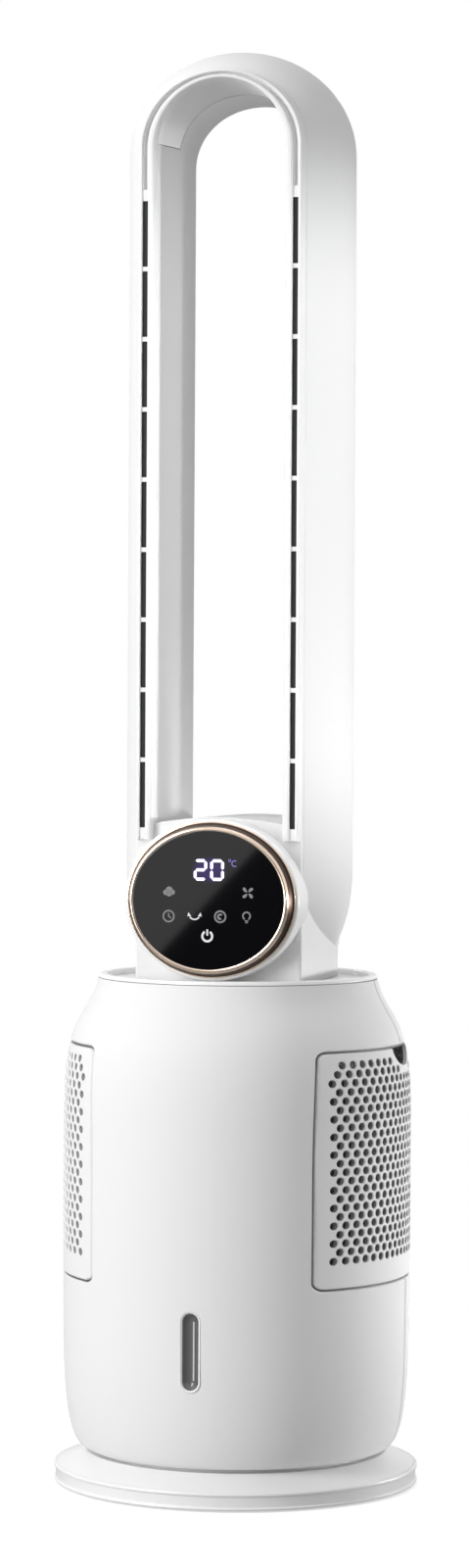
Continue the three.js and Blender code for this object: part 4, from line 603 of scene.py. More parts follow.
class Lattice:
    """The pierced wall as one closed mesh: a lattice of small faces, opened by rings round each hole."""

    def __init__(self):
        self.grid, self.verts, self.faces = {}, [], []
        self.lining, self.lining_faces = [], []

    def at_depth(self, y, z, deep):
        self.verts.append(on_wall(y, z, deep))
        return len(self.verts) - 1

    def corner(self, i, k, inner):
        """Lattice point i steps across and k steps up, on the outer or the inner face."""
        key = (i, k, inner)
        if key not in self.grid:
            z = LATTICE_FOOT + k * STEP_UP
            self.grid[key] = self.at_depth(i * STEP_ACROSS, z, WALL if inner else 0.0)
        return self.grid[key]

    def plain_cell(self, i0, k0):
        for i in range(i0, i0 + ACROSS):
            for k in range(k0, k0 + UP):
                for inner in (False, True):
                    square = ((i, k), (i + 1, k), (i + 1, k + 1), (i, k + 1))
                    self.faces.append(tuple(self.corner(*p, inner) for p in square))

    def hole_cell(self, i0, k0, yc, zc):
        """A cell whose edge is joined to a countersunk hole at its middle, with a grey sleeve in the hole
        that paints the shade inside it.
        """
        edge = [(i0 + a, k0) for a in range(ACROSS)]
        edge += [(i0 + ACROSS, k0 + b) for b in range(UP)]
        edge += [(i0 + ACROSS - a, k0 + UP) for a in range(ACROSS)]
        edge += [(i0, k0 + UP - b) for b in range(UP)]
        rings = []
        for radius, deep in ((HOLE_MOUTH, 0.0), (HOLE_R, MOUTH_DEEP), (HOLE_R, WALL)):
            ring = []
            for i, k in edge:
                dy, dz = i * STEP_ACROSS - yc, (k - k0 - UP / 2) * STEP_UP
                s = radius / math.hypot(dy, dz)
                ring.append(self.at_depth(yc + dy * s, zc + dz * s, deep))
            rings.append(ring)
        n, first = len(edge), len(self.lining)
        for deep in (MOUTH_DEEP, WALL - 0.05):
            for v in rings[1]:
                y, z = (c + (p - c) * PAINTED_SHADE_SHARE for c, p in zip((yc, zc), self.verts[v][1:]))
                self.lining.append(on_wall(y, z, deep))
        for j in range(n):
            k = (j + 1) % n
            self.lining_faces.append((first + j, first + k, first + n + k, first + n + j))
            for inner, ring in ((False, rings[0]), (True, rings[2])):
                a, b = self.corner(*edge[j], inner), self.corner(*edge[k], inner)
                self.faces.append((a, b, ring[k], ring[j]))
            for upper, lower in zip(rings, rings[1:]):
                self.faces.append((upper[j], upper[k], lower[k], lower[j]))

    def fill(self):
        for row in range(-3, ROWS + 2):
            from_top = ROWS - 1 - row
            shift = 0 if from_top % 2 == 0 else ACROSS // 2
            k0, zc = row * UP, ROW_TOP - from_top * ROW_PITCH
            for column in range(-COLUMNS, COLUMNS):
                i0 = column * ACROSS + shift
                yc = (i0 + ACROSS / 2) * STEP_ACROSS
                if has_hole(from_top, yc, zc):
                    self.hole_cell(i0, k0, yc, zc)
                else:
                    self.plain_cell(i0, k0)

    def close_rim(self):
        """Joins the outer and the inner face along their free edges."""
        uses = {}
        for f in self.faces:
            for j in range(4):
                edge = tuple(sorted((f[j], f[(j + 1) % 4])))
                uses[edge] = uses.get(edge, 0) + 1
        behind = {v: self.grid[i, k, True] for (i, k, inner), v in self.grid.items()
                  if not inner and (i, k, True) in self.grid}
        for (p, q), count in uses.items():
            if count == 1 and p in behind and q in behind:
                self.faces.append((p, q, behind[q], behind[p]))


def grille(word, side):
    """One side's pierced panel with its finger notch, and the grey sleeves in its holes, which paint the
    shade inside them.
    """
    lattice = Lattice()
    lattice.fill()
    lattice.close_rim()
    verts, lining = lattice.verts, lattice.lining
    if side < 0:
        verts, lining = ([(-x, -y, z) for x, y, z in points] for points in (verts, lining))
    body = word + "_panel"
    # Grey sleeves in the holes: painted shade.
    ob = make(word + "_grille_hole_lining", lining, lattice.lining_faces, "hole_lining")
    piece(ob, body, "grey_plastic")
    ob = make(word + "_grille_skin", verts, lattice.faces)
    combine(ob, panel_blank(GRILLE_SIDE, "X", side), "INTERSECT")
    notch = ellipse(NOTCH_HALF, NOTCH_DEEP, GRILLE_HIGH, 64)
    cut(ob, prism("notch", notch, "X", INSIDE * side, OUTSIDE * side))
    wall_piece(ob, body, word + "_grille")


def gap_shade_rings():
    """Dark grey rings that fill the gaps round the panels and paint the shade in those gaps."""
    steps = [(0.2, 1.5), (1.4, 1.5), (1.4, WALL), (0.2, WALL)]
    for word, side, axis, sign in (("right", GRILLE_SIDE, "X", 1), ("left", GRILLE_SIDE, "X", -1),
                                   ("tank", FASCIA_SIDE, "Y", 1)):
        rings = panel_rings(side, axis, sign, steps)
        piece(skin(word + "_seal", rings, "grey_seal", around=True), "tower", "grey_plastic")


def shade_backings():
    """A dark sheet behind the pierced panels, between two depths under the wall's face, that paints the shade
    in the holes.
    """
    near, deep, half = 3.3, 3.9, 80
    rows = np.linspace(GRILLE_LOW + 5, GRILLE_HIGH - NOTCH_DEEP - 4, 30)
    across = np.linspace(-half, half, 41)
    for word, sign in (("right", 1), ("left", -1)):
        rings = []
        for z in rows:
            front = [on_wall(y, z, near, "X", sign) for y in across]
            back = [on_wall(y, z, deep, "X", sign) for y in across[::-1]]
            rings.append(front + back)
        # The dark sheet is painted shade behind the holes.
        piece(skin(word + "_painted_shade_backing", rings, "painted_shade_backing"), word + "_panel", "dark_plastic")


# ---- Window, base and deck ----


def window_rings(inset, steps):
    """Rings of the window's outline for (further inset, depth behind the bezel's face) steps."""
    face = -body_r(WINDOW_Z) - WINDOW_PROUD
    w, h = WINDOW_W - 2 * inset, WINDOW_H - 2 * inset
    return [[(x, face + deep, z) for x, z in stadium(w - 2 * g, h - 2 * g, WINDOW_Z)] for g, deep in steps]


def window():
    """White bezel with a chamfer, round a smoky lens that is hollowed into a channel with a pale tube, which
    paints the highlight streak in the channel.
    """
    bezel = window_rings(0, [(0, 4), (0, 0.35), (0.25, 0), (1.5, 0.9), (1.5, 4)])
    ob = skin("window_bezel_skin", bezel, "white_trim", 30, around=True)
    polished(piece(ob, "tower", "white_trim", "window_bezel"))
    hollow = [(0, 4.0), (0, 0.7), (0.25, 0.66), (0.6, 0.95), (1.2, 1.5), (1.9, 2.05), (2.7, 2.55),
              (3.6, 2.92), (4.4, 3.11), (5.0, 3.17)]
    lens = skin("window_lens_skin", window_rings(LENS_INSET, hollow), "window_lens", 50)
    piece(lens, "tower", "clear_plastic", "window_lens")
    # A pale rod behind the lens that paints a highlight streak in its channel.
    across, behind, radius = 2.2, 2.3, 0.75
    tube = turned(16, radius, across, -body_r(WINDOW_Z) - WINDOW_PROUD + behind)
    ob = prism("painted_highlight_tube", tube, "Z", WINDOW_Z - 19, WINDOW_Z + 20, "painted_highlight_tube", 50)
    piece(ob, "tower", "clear_plastic")


def base():
    """The base plate, coned from its rim to a step under the body, and the rubber ring in its underside."""
    low, rim, top = BASE_LOW, BASE_RIM, BASE_TOP
    under = [(7, top, 0), (7, top - 3, 0), (98, top - 3, 0), (103, top - 6, 0), (103, low, 0)]
    near, far = RING_IN - 0.4, RING_OUT + 0.4
    channel = [(near, low, 0), (near, 2.5, 0), (far, 2.5, 0), (far, low, 0)]
    side = [(BASE_R - 0.3, low, 0.6), (BASE_R - 0.3, 3.0, 0.6), (BASE_R - 1.4, 3.3, 0.4),
            (BASE_R - 0.9, 10.6, 0.4), (BASE_R, 11.0, 0.3), (BASE_R, rim, 1.0)]
    over = [(BASE_R - 1.6, rim + 0.7, 0.9), (BASE_R - 2.4, rim + 0.6, 0.4), (103.2, top - 1.2, 0.6),
            (97.5, top - 1.2, 0.2), (97.0, top, 0.2)]
    ob = lathe("base_plate_skin", cornered(under + channel + side + over, 6), ROUND, "white_shell")
    polished(piece(ob, "base", "white_shell", "base_plate"))
    ring = rounded([(RING_IN, 0), (RING_OUT, 0), (RING_OUT, RING_TOP), (RING_IN, RING_TOP)], 0.5, 3)
    piece(lathe("foot_ring_skin", ring, 180, "rubber"), "base", "rubber", "foot_ring")


def deck():
    """The rim round the body's top, and the sunk plate inside it."""
    inner, outer, under = TOP_R - 5.4, TOP_R - 3.2, DECK - 2.8
    top, seam, edge, middle = BODY_TOP + 1.4, SHELL_TOP + 0.35, TOP_R - 5.7, 40
    rim = [(inner, under, 0), (outer, under, 0), (outer, seam, 0.3), (TOP_R + 0.25, seam, 0.35),
           (TOP_R - 0.5, top, 1.5), (inner, top, 1.2)]
    ob = lathe("deck_rim_skin", cornered(rim, 6), ROUND, "white_trim")
    polished(piece(ob, "tower", "white_trim", "deck_rim"))
    plate = [(middle, under, 0), (edge, under, 0), (edge, DECK, 0.4), (middle, DECK, 0)]
    ob = lathe("deck_plate_skin", cornered(plate, 3), ROUND, "white_shell")
    piece(ob, "tower", "white_shell", "deck_plate")


# ---- Loop and neck ----

LOOP_MIDDLE = (CREASE_Y + REAR_Y) / 2
HALF_CHORD = (REAR_Y - CREASE_Y) / 2
BULGE_R = (HALF_CHORD ** 2 + BULGE ** 2) / (2 * BULGE)
BULGE_C = CREASE + BULGE - BULGE_R
TONGUE_SHARES = (0.985, 0.96, 0.92, 0.87, 0.81, 0.74, 0.66, 0.58, 0.5, 0.42, 0.34, 0.26, 0.18, 0.1, 0.04)
INNER_SHARES = (0.01, 0.15, 0.3, 0.45, 0.6, 0.75, 0.9, 0.97, 0.99)


def bulge_at(y, inset):
    return BULGE_C + math.sqrt((BULGE_R - inset) ** 2 - (y - LOOP_MIDDLE) ** 2)


def beads():
    """The section's front with its corner radii, from the lip over the two beads to the crease."""
    return [(0, VALLEY_Y, 0), (0.4, -59.3, 0.8), (1.5, LIP_Y, 1.0), (3.7, LIP_Y + 0.1, 1.0),
            (4.6, -59.2, 0.6), (4.9, VALLEY_Y, 0.25), (8.6, VALLEY_Y, 0.25), (8.9, BEAD_Y, 0.7),
            (10.7, BEAD_Y + 0.1, 0.8), (11.2, -57.0, 0.5), (CREASE - 0.15, CREASE_Y - 1.0, 0.8)]


def section(inset=0.0):
    """The loop's section as (distance outside the lip, depth), front first, or the hollow inside it."""
    start, front = CREASE_Y, beads()
    if inset:
        start = CREASE_Y + 1
        front = [(inset, LIP_Y - 4, 0), (bulge_at(start, inset), LIP_Y - 4, 0)]
    ys = [start + (REAR_Y - 4 - start) * i / 40 for i in range(41)]
    outer = [(bulge_at(y, inset), y, 0) for y in ys]
    cx, cy, back = REAR_ROUND - REAR_DRAFT, REAR_Y - REAR_ROUND, REAR_Y - inset
    rear = [(bulge_at(REAR_Y - 1, inset) - 0.4, back, 3.0), (cx, back, 0)]
    points = cornered(front + outer + rear, 4)
    r = REAR_ROUND - inset
    for degrees in range(10, 91, 10):
        a = math.radians(degrees)
        points.append((cx - r * math.sin(a), cy + r * math.cos(a)))
    end, first = np.array(points[-1]), np.array(points[0])
    return points + [tuple(end + (first - end) * share) for share in INNER_SHARES]


def squeezed(offset, angle):
    """A distance outside the lip, made smaller toward the top of the arch."""
    up = math.sin(angle) ** 2
    if offset <= 0:
        return offset
    return min(offset, CREASE) * (1 - SQUEEZE * up) + max(offset - CREASE, 0) * (1 - SIDE_SQUEEZE * up)


def flared(s, y, angle):
    """How far the inner wall opens toward the rear along the limbs; the top of the arch stays as it is."""
    share = min(max((CREASE - s) / (CREASE - FLARE_FROM), 0.0), 1.0)
    return FLARE * share * math.cos(angle) ** 2 * max(y - VALLEY_Y, 0.0) / (REAR_Y - VALLEY_Y)


def on_loop(s, y, z, angle):
    """A point at a distance outside the lip and a depth, at a turn round the arch's middle at height z."""
    r = LIP_R + squeezed(s, angle) + flared(s, y, angle)
    return (r * math.cos(angle), y, z + r * math.sin(angle))


def limb(inset=0.0):
    """Stations up a limb: height, share of the bulge, which starts as a tongue, and whether beads show."""
    rise = TONGUE_FULL - (TONGUE_TIP + 6 * inset)
    tongue = [(TONGUE_FULL - rise * share, 1 - share ** TONGUE_POWER, False) for share in TONGUE_SHARES]
    return tongue + [(TONGUE_FULL, 1.0, False), (BEAD_START - 0.4, 1.0, False), (BEAD_START, 1.0, True)]


def loop_rings(points, limb_stations):
    """Rings of a section up one limb, round the arch and down the other."""
    stations = [(z, 0.0, bulge, beaded) for z, bulge, beaded in limb_stations]
    stations += [(ARCH_Z, math.pi * i / ARCH_STEPS, 1.0, True) for i in range(ARCH_STEPS + 1)]
    stations += [(z, math.pi, bulge, beaded) for z, bulge, beaded in reversed(limb_stations)]
    rings = []
    for z, angle, bulge, beaded in stations:
        ring = []
        for s, y in points:
            if not beaded and y < CREASE_Y:
                y = CREASE_Y + 0.2
            if s > CREASE:
                s, y = CREASE + (s - CREASE) * bulge, TONGUE_Y + (y - TONGUE_Y) * bulge
            ring.append(on_loop(s, y, z, angle))
        rings.append(ring)
    return rings


def neck_block(name, inset, low, front):
    """The neck under the loop, with a saddle for its top."""
    half, radius, back = NECK_HALF - inset, SADDLE_R - inset, REAR_Y - inset
    lean = math.asin(half / radius)
    face = [(-half, low), (half, low)]
    for i in range(41):
        a = math.pi / 2 - lean + 2 * lean * i / 40
        face.append((radius * math.cos(a), SADDLE_Z - SADDLE_R + radius * math.sin(a)))
    ob = prism(name, face, "Y", REAR_Y + 2, front - 2)
    plan = [(-half, front, 1.6), (half, front, 1.6), (half, back, 8 - inset), (-half, back, 8 - inset)]
    return combine(ob, prism("plan", cornered(plan, 8), "Z", low - 1, SADDLE_Z + 1), "INTERSECT")


def arch_strip(name, inner, gap=0.0):
    """The strip let into the inner face of the arch, or the space for it, which has a gap round it."""
    def draft(y):
        return REAR_DRAFT * (y - VALLEY_Y) / (REAR_Y - REAR_ROUND - VALLEY_Y)

    outer = STRIP_THICK + gap
    y0, y1 = SPLIT_Y + SPLIT_GAP - gap, STRIP_REAR + 4 * gap
    corners = ((inner, y0), (outer, y0), (outer, y1), (inner, y1))
    outline = [(s - draft(y), y) for s, y in corners]
    rings = []
    for i in range(STRIP_STEPS + 1):
        ring = []
        for s, y in outline:
            low = math.radians(4.5 + 5.0 * (y - y0) / (y1 - y0)) - gap / LIP_R
            ring.append(on_loop(s, y, ARCH_Z, low + (math.pi - 2 * low) * i / STRIP_STEPS))
        rings.append(ring)
    return skin(name, rings)


def slot_tool(x, low):
    high = low + SLOT_LENGTH
    left, right = x - SLOT_HALF, x + SLOT_HALF
    outline = rounded([(left, low), (right, low), (right, high), (left, high)], 0.7, 3)
    return prism("slot", outline, "Y", -66, -50)


def front_frame(form):
    """The front of the loop and the neck, with the slots of both limbs and the groove round the arch."""
    ahead = box("ahead", (-FAR, -FAR, 0), (FAR, SPLIT_Y - SPLIT_GAP, LOOP_HIGH))
    front = combine(copy_of(form, "loop_front_frame_skin"), ahead, "INTERSECT")
    cut(front, *[slot_tool(side * SLOT_X, low) for side in (-1, 1) for low in SLOT_FEET], angle=30)
    left, right, floor_y = 5.4, 8.1, VALLEY_Y + 2.6
    groove = [(left, -64), (right, -64), (right, floor_y - 0.4), (right - 0.5, floor_y),
              (left + 0.5, floor_y), (left, floor_y - 0.4)]
    cut(front, skin("groove", loop_rings(groove, [(GROOVE_START, 1.0, True)])), angle=30)
    front.data.materials.append(MAT["white_trim"])
    polished(piece(front, "tower", "white_trim", "loop_front_frame"))


def rear_shell(form):
    """The hollow rest of the loop and the neck, with the space for the arch's strip."""
    behind = box("behind", (-FAR, SPLIT_Y + SPLIT_GAP, 0), (FAR, FAR, LOOP_HIGH))
    rear = combine(form, behind, "INTERSECT")
    rear.name = "loop_rear_shell_skin"
    cavity = skin("cavity", loop_rings(section(WALL), limb(WALL)))
    combine(cavity, neck_block("hollow", WALL, NECK_FOOT - 5, LIP_Y - 2), "UNION")
    cut(rear, cavity, arch_strip("recess", -3.0, STRIP_GAP))
    rear.data.materials.append(MAT["white_shell"])
    polished(piece(rear, "tower", "white_shell", "loop_rear_shell"))


def slot_backs(word, side):
    """The dark floors of one limb's slots, and the strip behind them."""
    x, clear = side * SLOT_X, 0.02
    blocks = [(3.4, -51.2, -49.6, NECK_FOOT + 98, 884)]
    for low in SLOT_FEET:
        blocks.append((SLOT_HALF - clear, -56.9, -51.0, low + clear, low + SLOT_LENGTH - clear))
    block_faces = ((0, 1, 2, 3), (4, 5, 6, 7), (0, 1, 5, 4), (1, 2, 6, 5), (2, 3, 7, 6), (3, 0, 4, 7))
    verts, faces = [], []
    for half, y0, y1, low, high in blocks:
        faces += [tuple(len(verts) + j for j in f) for f in block_faces]
        plan = ((-half, y0), (half, y0), (half, y1), (-half, y1))
        verts += [(x + a, b, c) for c in (low, high) for a, b in plan]
    piece(make("slot_backing_" + word, verts, faces, "slot_black"), "tower", "dark_plastic")


def loop():
    form = skin("form", loop_rings(section(), limb()))
    combine(form, neck_block("neck", 0.0, NECK_FOOT, NECK_FRONT), "UNION")
    front_frame(form)
    rear_shell(form)
    liner = arch_strip("arch_liner_skin", 0.02)
    liner.data.materials.append(MAT["white_shell"])
    polished(piece(liner, "tower", "white_trim", "arch_liner"))
    slot_backs("left", -1)
    slot_backs("right", 1)


# ---- Display ----

OVAL_POINTS = 160
SIGN_Y, HALO_Y = GLASS_Y - 0.06, GLASS_Y - 0.03
BAR_WIDTH, BAR_GAP = 2.0, 0.28
SIGN_LIGHT = {
    "digits": ("digit_light", (0.80, 0.74, 1.0), 2.2),
    "grey": ("sign_light", (0.62, 0.62, 0.64), 0.36),
    "power": ("power_light", (0.95, 0.95, 1.0), 0.85),
    "degree": ("degree_light", (0.30, 0.22, 0.85), 0.9),
}


def ovals(steps):
    """Rings of the display's outline for (inset, y) steps."""
    return [[(x, y, z) for x, z in ellipse(DISPLAY_W - g, DISPLAY_H - g, DISPLAY_Z, OVAL_POINTS)]
            for g, y in steps]


def display():
    """A white drum, a bezel of two bright edges with a dark band between them, the band a darker copy of the
    rose gold that paints its shade, and the glass.
    """
    f, wrap = DISPLAY_FRONT, DISPLAY_WRAP
    drum = [(2.1, wrap), (0.6, wrap), (0.15, wrap - 0.4), (0, wrap - 1.2), (0, f + 1.6), (0.12, f + 0.8),
            (0.5, f + 0.25), (1.0, f), (2.0, f), (2.2, f + 0.3), (2.3, f + 10)]
    ob = skin("display_housing_skin", ovals(drum), "white_shell", 30, around=True)
    polished(piece(ob, "tower", "white_shell", "display_housing"))
    outer = [(2.1, f + 2), (2.1, f - 0.4), (2.3, f - 0.8), (2.7, f - 0.95), (3.1, f - 0.8), (3.3, f - 0.3),
             (3.3, f + 2)]
    ob = skin("bezel_outer_edge", ovals(outer), "rose_gold", 60, around=True)
    piece(ob, "tower", "rose_gold", "bezel_ring")
    # The flank is painted shade: the ring's metal, darkened.
    flank = [(3.1, f + 2), (3.1, f - 0.4), (5.3, f - 6.6), (5.6, f - 6.6), (5.6, f + 2)]
    piece(skin("bezel_flank", ovals(flank), "painted_shade_bronze", 40, around=True), "tower", "rose_gold")
    inner = [(5.2, f - 5), (5.2, f - 6.6), (5.5, f - 7.6), (6.0, f - 8.2), (6.7, f - 8.5), (7.5, f - 8.5),
             (8.1, f - 8.2), (8.2, f - 5)]
    piece(skin("bezel_inner_edge", ovals(inner), "rose_gold", 60, around=True), "tower", "rose_gold")
    edge, y = GLASS_INSET, GLASS_Y
    glass = ovals([(edge, y + 2), (edge, y + 0.25), (edge + 0.08, y + 0.08), (edge + 0.3, y)])
    piece(skin("display_glass_skin", glass, "black_glass", 12), "tower", "black_glass", "display_glass")


def filled(points):
    return points, [tuple(range(len(points)))]


def stroke(points, width, closed=False):
    """A flat ribbon of even width along a path in X and Z, as points and faces."""
    path = [np.array(p, float) for p in points]
    n = len(path)
    out, faces = [], []
    for i, p in enumerate(path):
        before = path[i - 1] if (closed or i > 0) else p * 2 - path[i + 1]
        after = path[(i + 1) % n] if (closed or i < n - 1) else p * 2 - path[i - 1]
        d = after - before
        d /= np.linalg.norm(d)
        side = np.array((-d[1], d[0])) * width / 2
        out += [p + side, p - side]
    for i in range(n if closed else n - 1):
        j = (i + 1) % n
        faces.append((2 * i, 2 * i + 1, 2 * j + 1, 2 * j))
    return out, faces


def arc(cx, cz, r, a0, a1, n):
    turns = [math.radians(a0 + (a1 - a0) * i / n) for i in range(n + 1)]
    return [(cx + r * math.cos(t), cz + r * math.sin(t)) for t in turns]


def digit_bar(x0, z0, x1, z1):
    """One bar of a digit with pointed ends."""
    a, b = np.array((x0, z0)), np.array((x1, z1))
    d = (b - a) / np.linalg.norm(b - a)
    s = np.array((-d[1], d[0])) * BAR_WIDTH / 2
    e = d * BAR_WIDTH / 2
    return filled([a, a + e + s, b - e + s, b, b - e - s, a + e - s])


def digits():
    top, mid, low, gap = 428.1, 421.9, 415.7, BAR_GAP
    shapes = []
    for x0, x1, lit in ((-8.9, -1.6, "abged"), (2.5, 10.1, "abcdef")):
        left, right = x0 + gap, x1 - gap
        bar = {
            "a": (left, top, right, top), "g": (left, mid, right, mid), "d": (left, low, right, low),
            "b": (x1, top - gap, x1, mid + gap), "c": (x1, mid - gap, x1, low + gap),
            "f": (x0, top - gap, x0, mid + gap), "e": (x0, mid - gap, x0, low + gap),
        }
        shapes += [digit_bar(*bar[letter]) for letter in lit]
    return shapes


def degree():
    return [stroke(arc(15.0, 428.4, 0.75, 0, 345, 16), 0.42, True),
            stroke(arc(18.4, 426.4, 1.9, 55, 305, 18), 0.6)]


def cloud(x, z):
    puffs = ((-2.2, -0.5, 1.9), (0.1, 1.1, 2.4), (2.3, -0.3, 1.8), (0.1, -1.0, 2.2))
    return [filled(arc(x + dx, z + dz, r, 0, 345, 16)) for dx, dz, r in puffs]


def leaves(x, z):
    leaf = [(0.5, 0.2), (2.0, 1.5), (4.0, 1.6), (4.8, 0.3), (3.7, -0.45), (1.9, -0.35)]
    shapes = []
    for k in range(4):
        a = math.radians(35 + 90 * k)
        c, s = math.cos(a), math.sin(a)
        shapes.append(filled([(x + c * u - s * v, z + s * u + c * v) for u, v in leaf]))
    return shapes


def clock(x, z):
    hands = [(x, z + 2.1), (x, z), (x + 1.7, z - 1.3)]
    return [stroke(arc(x, z, 3.7, 0, 348, 30), 1.0, True), stroke(hands, 0.8)]


def target(x, z):
    return [stroke(arc(x, z, 3.7, 0, 348, 30), 1.1, True), stroke(arc(x, z, 1.5, 40, 300, 14), 1.3)]


def bulb(x, z):
    return [stroke(arc(x, z, 2.5, -60, 240, 24), 1.0),
            stroke([(x - 1.2, z - 3.3), (x + 1.2, z - 3.3)], 0.8),
            stroke([(x - 0.9, z - 4.4), (x + 0.9, z - 4.4)], 0.7)]


def swing_arrow(x, z):
    """An arc with an arrowhead at each end."""
    shapes = [stroke(arc(x, z, 3.9, 215, 325, 20), 0.95)]
    foot, tip = z - 1.8, z + 0.8
    for side in (-1, 1):
        end = x + side * 3.6
        shapes.append(filled([(end - 1.4, foot), (end + 1.4, foot), (end + side * 0.6, tip)]))
    return shapes


def power(x, z):
    return [stroke(arc(x, z, 3.4, 122, 418, 30), 1.5), stroke([(x, z + 0.4), (x, z + 4.6)], 1.2)]


def signs():
    groups = {
        "digits": digits(),
        "grey": (cloud(-27.0, 407.0) + leaves(27.6, 407.0) + clock(-27.2, 390.6) + target(8.6, 390.8)
                 + bulb(26.8, 391.6)),
        "power": swing_arrow(-9.2, 392.6) + power(-0.3, 377.6),
        "degree": degree(),
    }
    for name, shapes in groups.items():
        verts, faces = [], []
        for points, shape_faces in shapes:
            faces += [tuple(len(verts) + i for i in face) for face in shape_faces]
            verts += [(x, SIGN_Y, z) for x, z in points]
        ob = sheet("sign_" + name, verts, faces, glowing(*SIGN_LIGHT[name]), MM)
        piece(ob, "tower", "black_glass")


def halo():
    """Violet glow of the digits on the glass just round them."""
    m, tree, out = bare_nodes("digit_halo")
    coords = add_node(tree, "TexCoord").outputs["Generated"]
    shift = add_node(tree, "Mapping", Location=(-1, 0, -1), Scale=(2, 0, 2))
    link(tree, coords, shift.inputs["Vector"])
    fade = faded(tree, shift.outputs["Vector"], 0.35, 1.0, 0.5, 0.0)
    glow = add_node(tree, "Emission")
    grain = noise(tree, coords, 30.0, 2.0)
    link(tree, blended(tree, grain, (0.035, 0.01, 0.16), (0.05, 0.018, 0.2)), glow.inputs["Color"])
    clear = add_node(tree, "BsdfTransparent").outputs[0]
    lit = added(tree, glow.outputs[0], clear)
    link(tree, mixed(tree, fade, clear, lit), out.inputs["Surface"])
    left, right, low, high = -13.8, 15.2, 411.5, 432.5
    corners = [(x, HALO_Y, z) for x, z in ((left, low), (right, low), (right, high), (left, high))]
    piece(sheet("sign_halo", corners, [(0, 1, 2, 3)], m, MM), "tower", "black_glass")


shells()
tank_front()
grille("right", 1)
grille("left", -1)
gap_shade_rings()
shade_backings()
window()
base()
deck()
loop()
display()
signs()
halo()

# ---- Floor, lights, surroundings and camera, in metres ----

WHITE = (1, 1, 1, 1)


def floor():
    """White where it is seen far from the fan, a little shaded near it, and dull to every other ray."""
    m, tree, bsdf = plastic_nodes("floor")
    coords = object_coords(tree)
    soft = noise(tree, coords, 3.0, 2.0)
    link(tree, blended(tree, soft, (0.74, 0.74, 0.74), (0.76, 0.76, 0.76)), bsdf.inputs["Base Color"])
    set_inputs(bsdf, Roughness=0.9, Specular_IOR_Level=0.1)
    dull = add_node(tree, "BsdfDiffuse")
    link(tree, blended(tree, soft, (0.38, 0.38, 0.38), (0.42, 0.42, 0.42)), dull.inputs["Color"])
    near = added(tree, bsdf.outputs[0], add_node(tree, "Emission", Strength=0.6).outputs[0])
    far = add_node(tree, "Emission", Strength=1.0).outputs[0]
    seen = mixed(tree, faded(tree, coords, 0.2, 0.9), near, far)
    camera_ray = add_node(tree, "LightPath").outputs["Is Camera Ray"]
    both = mixed(tree, camera_ray, dull.outputs[0], seen)
    link(tree, both, tree.nodes["Material Output"].inputs["Surface"])
    h = 8
    ob = sheet("floor", [(-h, -h, 0), (h, -h, 0), (h, h, 0), (-h, h, 0)], [(0, 1, 2, 3)], m)


def lamp(name, place, aim, size, power_w, spread=180):
    data = bpy.data.lights.new(name, "AREA")
    data.shape = "RECTANGLE"
    data.size, data.size_y = size
    data.energy = power_w
    data.spread = math.radians(spread)
    ob = add_object(name, data)
    ob.location = place
    ob.rotation_euler = (Vector(aim) - Vector(place)).to_track_quat("-Z", "Y").to_euler()


def at(azimuth, distance, height):
    """A place round the fan. Azimuth 0 is straight in front, and positive is to the right."""
    a = math.radians(azimuth)
    return (math.sin(a) * distance, -math.cos(a) * distance, height)


def lights():
    lamp("key_left", at(-38, 2.6, 1.15), (0, 0, 0.5), (1.0, 2.3), 65)
    lamp("over", (0, 0.2, 2.6), (0, 0, 0.4), (1.2, 1.2), 9.3)
    lamp("right_low", at(125, 2.4, 0.18), (0, 0, 0.18), (0.9, 0.4), 1.2, 14)
    lamp("right_high", at(50, 2.0, 0.66), (0, 0, 0.66), (0.35, 0.46), 0.13, 6)
    lamp("side_high", at(80, 2.0, 0.66), (0, 0, 0.66), (0.35, 0.46), 0.30, 6)


def larger(tree, a, b):
    n = add_node(tree, "Math")
    n.operation = "MAXIMUM"
    link(tree, a, n.inputs[0])
    link(tree, b, n.inputs[1])
    return n.outputs[0]


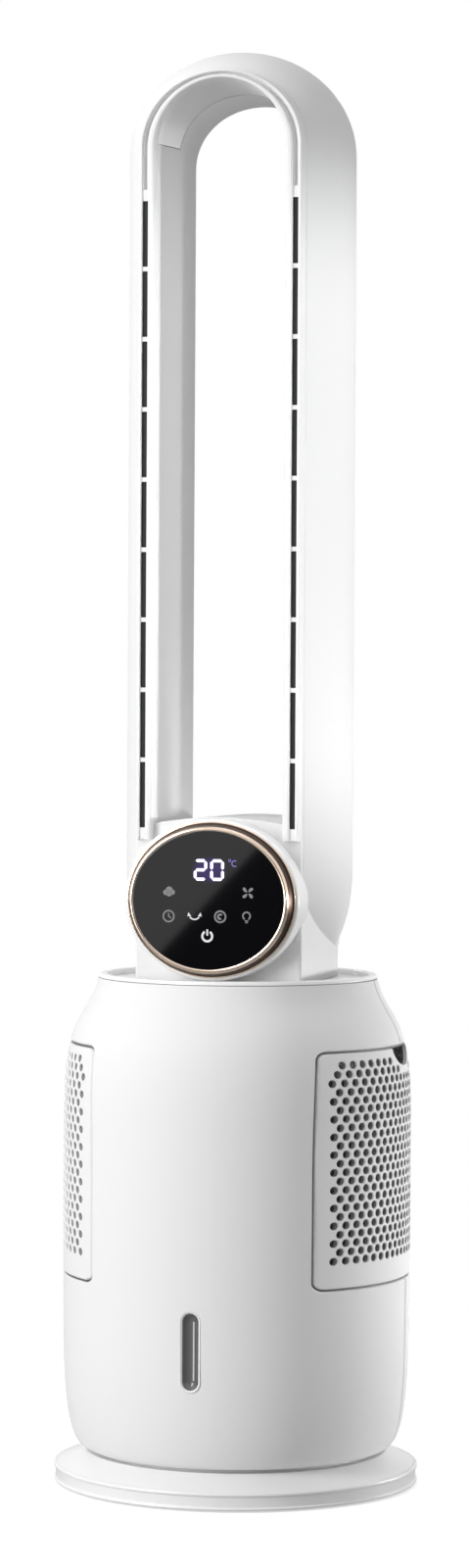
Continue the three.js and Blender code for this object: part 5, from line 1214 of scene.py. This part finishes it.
def surroundings():
    """A white room: full where it is seen directly, mirrored or through clear parts, and dim as a light."""
    world = bpy.data.worlds.new("surroundings")
    bpy.context.scene.world = world
    world.use_nodes = True
    tree = world.node_tree
    dim = set_inputs(tree.nodes["Background"], Color=WHITE, Strength=0.4)
    bright = add_node(tree, "Background", Color=WHITE, Strength=1.0)
    path = add_node(tree, "LightPath").outputs
    seen = larger(tree, path["Is Camera Ray"], path["Is Glossy Ray"])
    seen = larger(tree, seen, path["Is Transmission Ray"])
    both = mixed(tree, seen, dim.outputs[0], bright.outputs[0])
    link(tree, both, tree.nodes["World Output"].inputs["Surface"])


def card(name, corners, y, grey):
    """A card in front of the fan that only reflections show."""
    m, tree, out = bare_nodes(name)
    glow = add_node(tree, "Emission", Color=(grey, grey, grey, 1))
    link(tree, glow.outputs[0], out.inputs["Surface"])
    ob = sheet(name, [(x, y, z) for x, z in corners], [(0, 1, 2, 3)], m)
    ob.visible_camera = ob.visible_diffuse = ob.visible_transmission = ob.visible_shadow = False


def cards():
    """A pale card for the upper left of the glass and a dark one for the rest, with a slanting edge."""
    low, high = np.array((-0.864, 0.190)), np.array((-0.728, 0.335))
    step = (high - low) / np.linalg.norm(high - low)
    card("dark_card", [low - 0.9 * step, high + 1.6 * step, (1.2, 1.6), (1.2, -0.4)], -3.0, 0.0)
    card("pale_card", [(-2.0, 0.0), (-2.0, 0.8), (-0.2, 0.8), (-0.2, 0.0)], -3.02, 0.95)


def camera():
    """Stands where the picture was taken from. Its focal length is in pixels of the picture."""
    azimuth, pitch, roll = math.radians(14.889), math.radians(1.005), math.radians(0.311)
    place, sensor, focal, picture_high = (0.7269, -2.7450, 0.5279), 36, 4222.3, 1600
    level = math.cos(pitch)
    ahead = Vector((-math.sin(azimuth) * level, math.cos(azimuth) * level, -math.sin(pitch)))
    right = Vector((math.cos(azimuth), math.sin(azimuth), 0))
    up = right.cross(ahead)
    c, s = math.cos(roll), math.sin(roll)
    right, up = right * c + up * s, up * c - right * s
    data = bpy.data.cameras.new("camera")
    data.sensor_fit = "VERTICAL"
    data.sensor_height = sensor
    data.lens = sensor * focal / picture_high
    ob = add_object("camera", data)
    turn = Matrix((right, up, -ahead)).transposed().to_4x4()
    ob.matrix_world = Matrix.Translation(Vector(place)) @ turn
    bpy.context.scene.camera = ob


floor()
lights()
surroundings()
cards()
camera()
bpy.context.scene.view_settings.view_transform = "Standard"
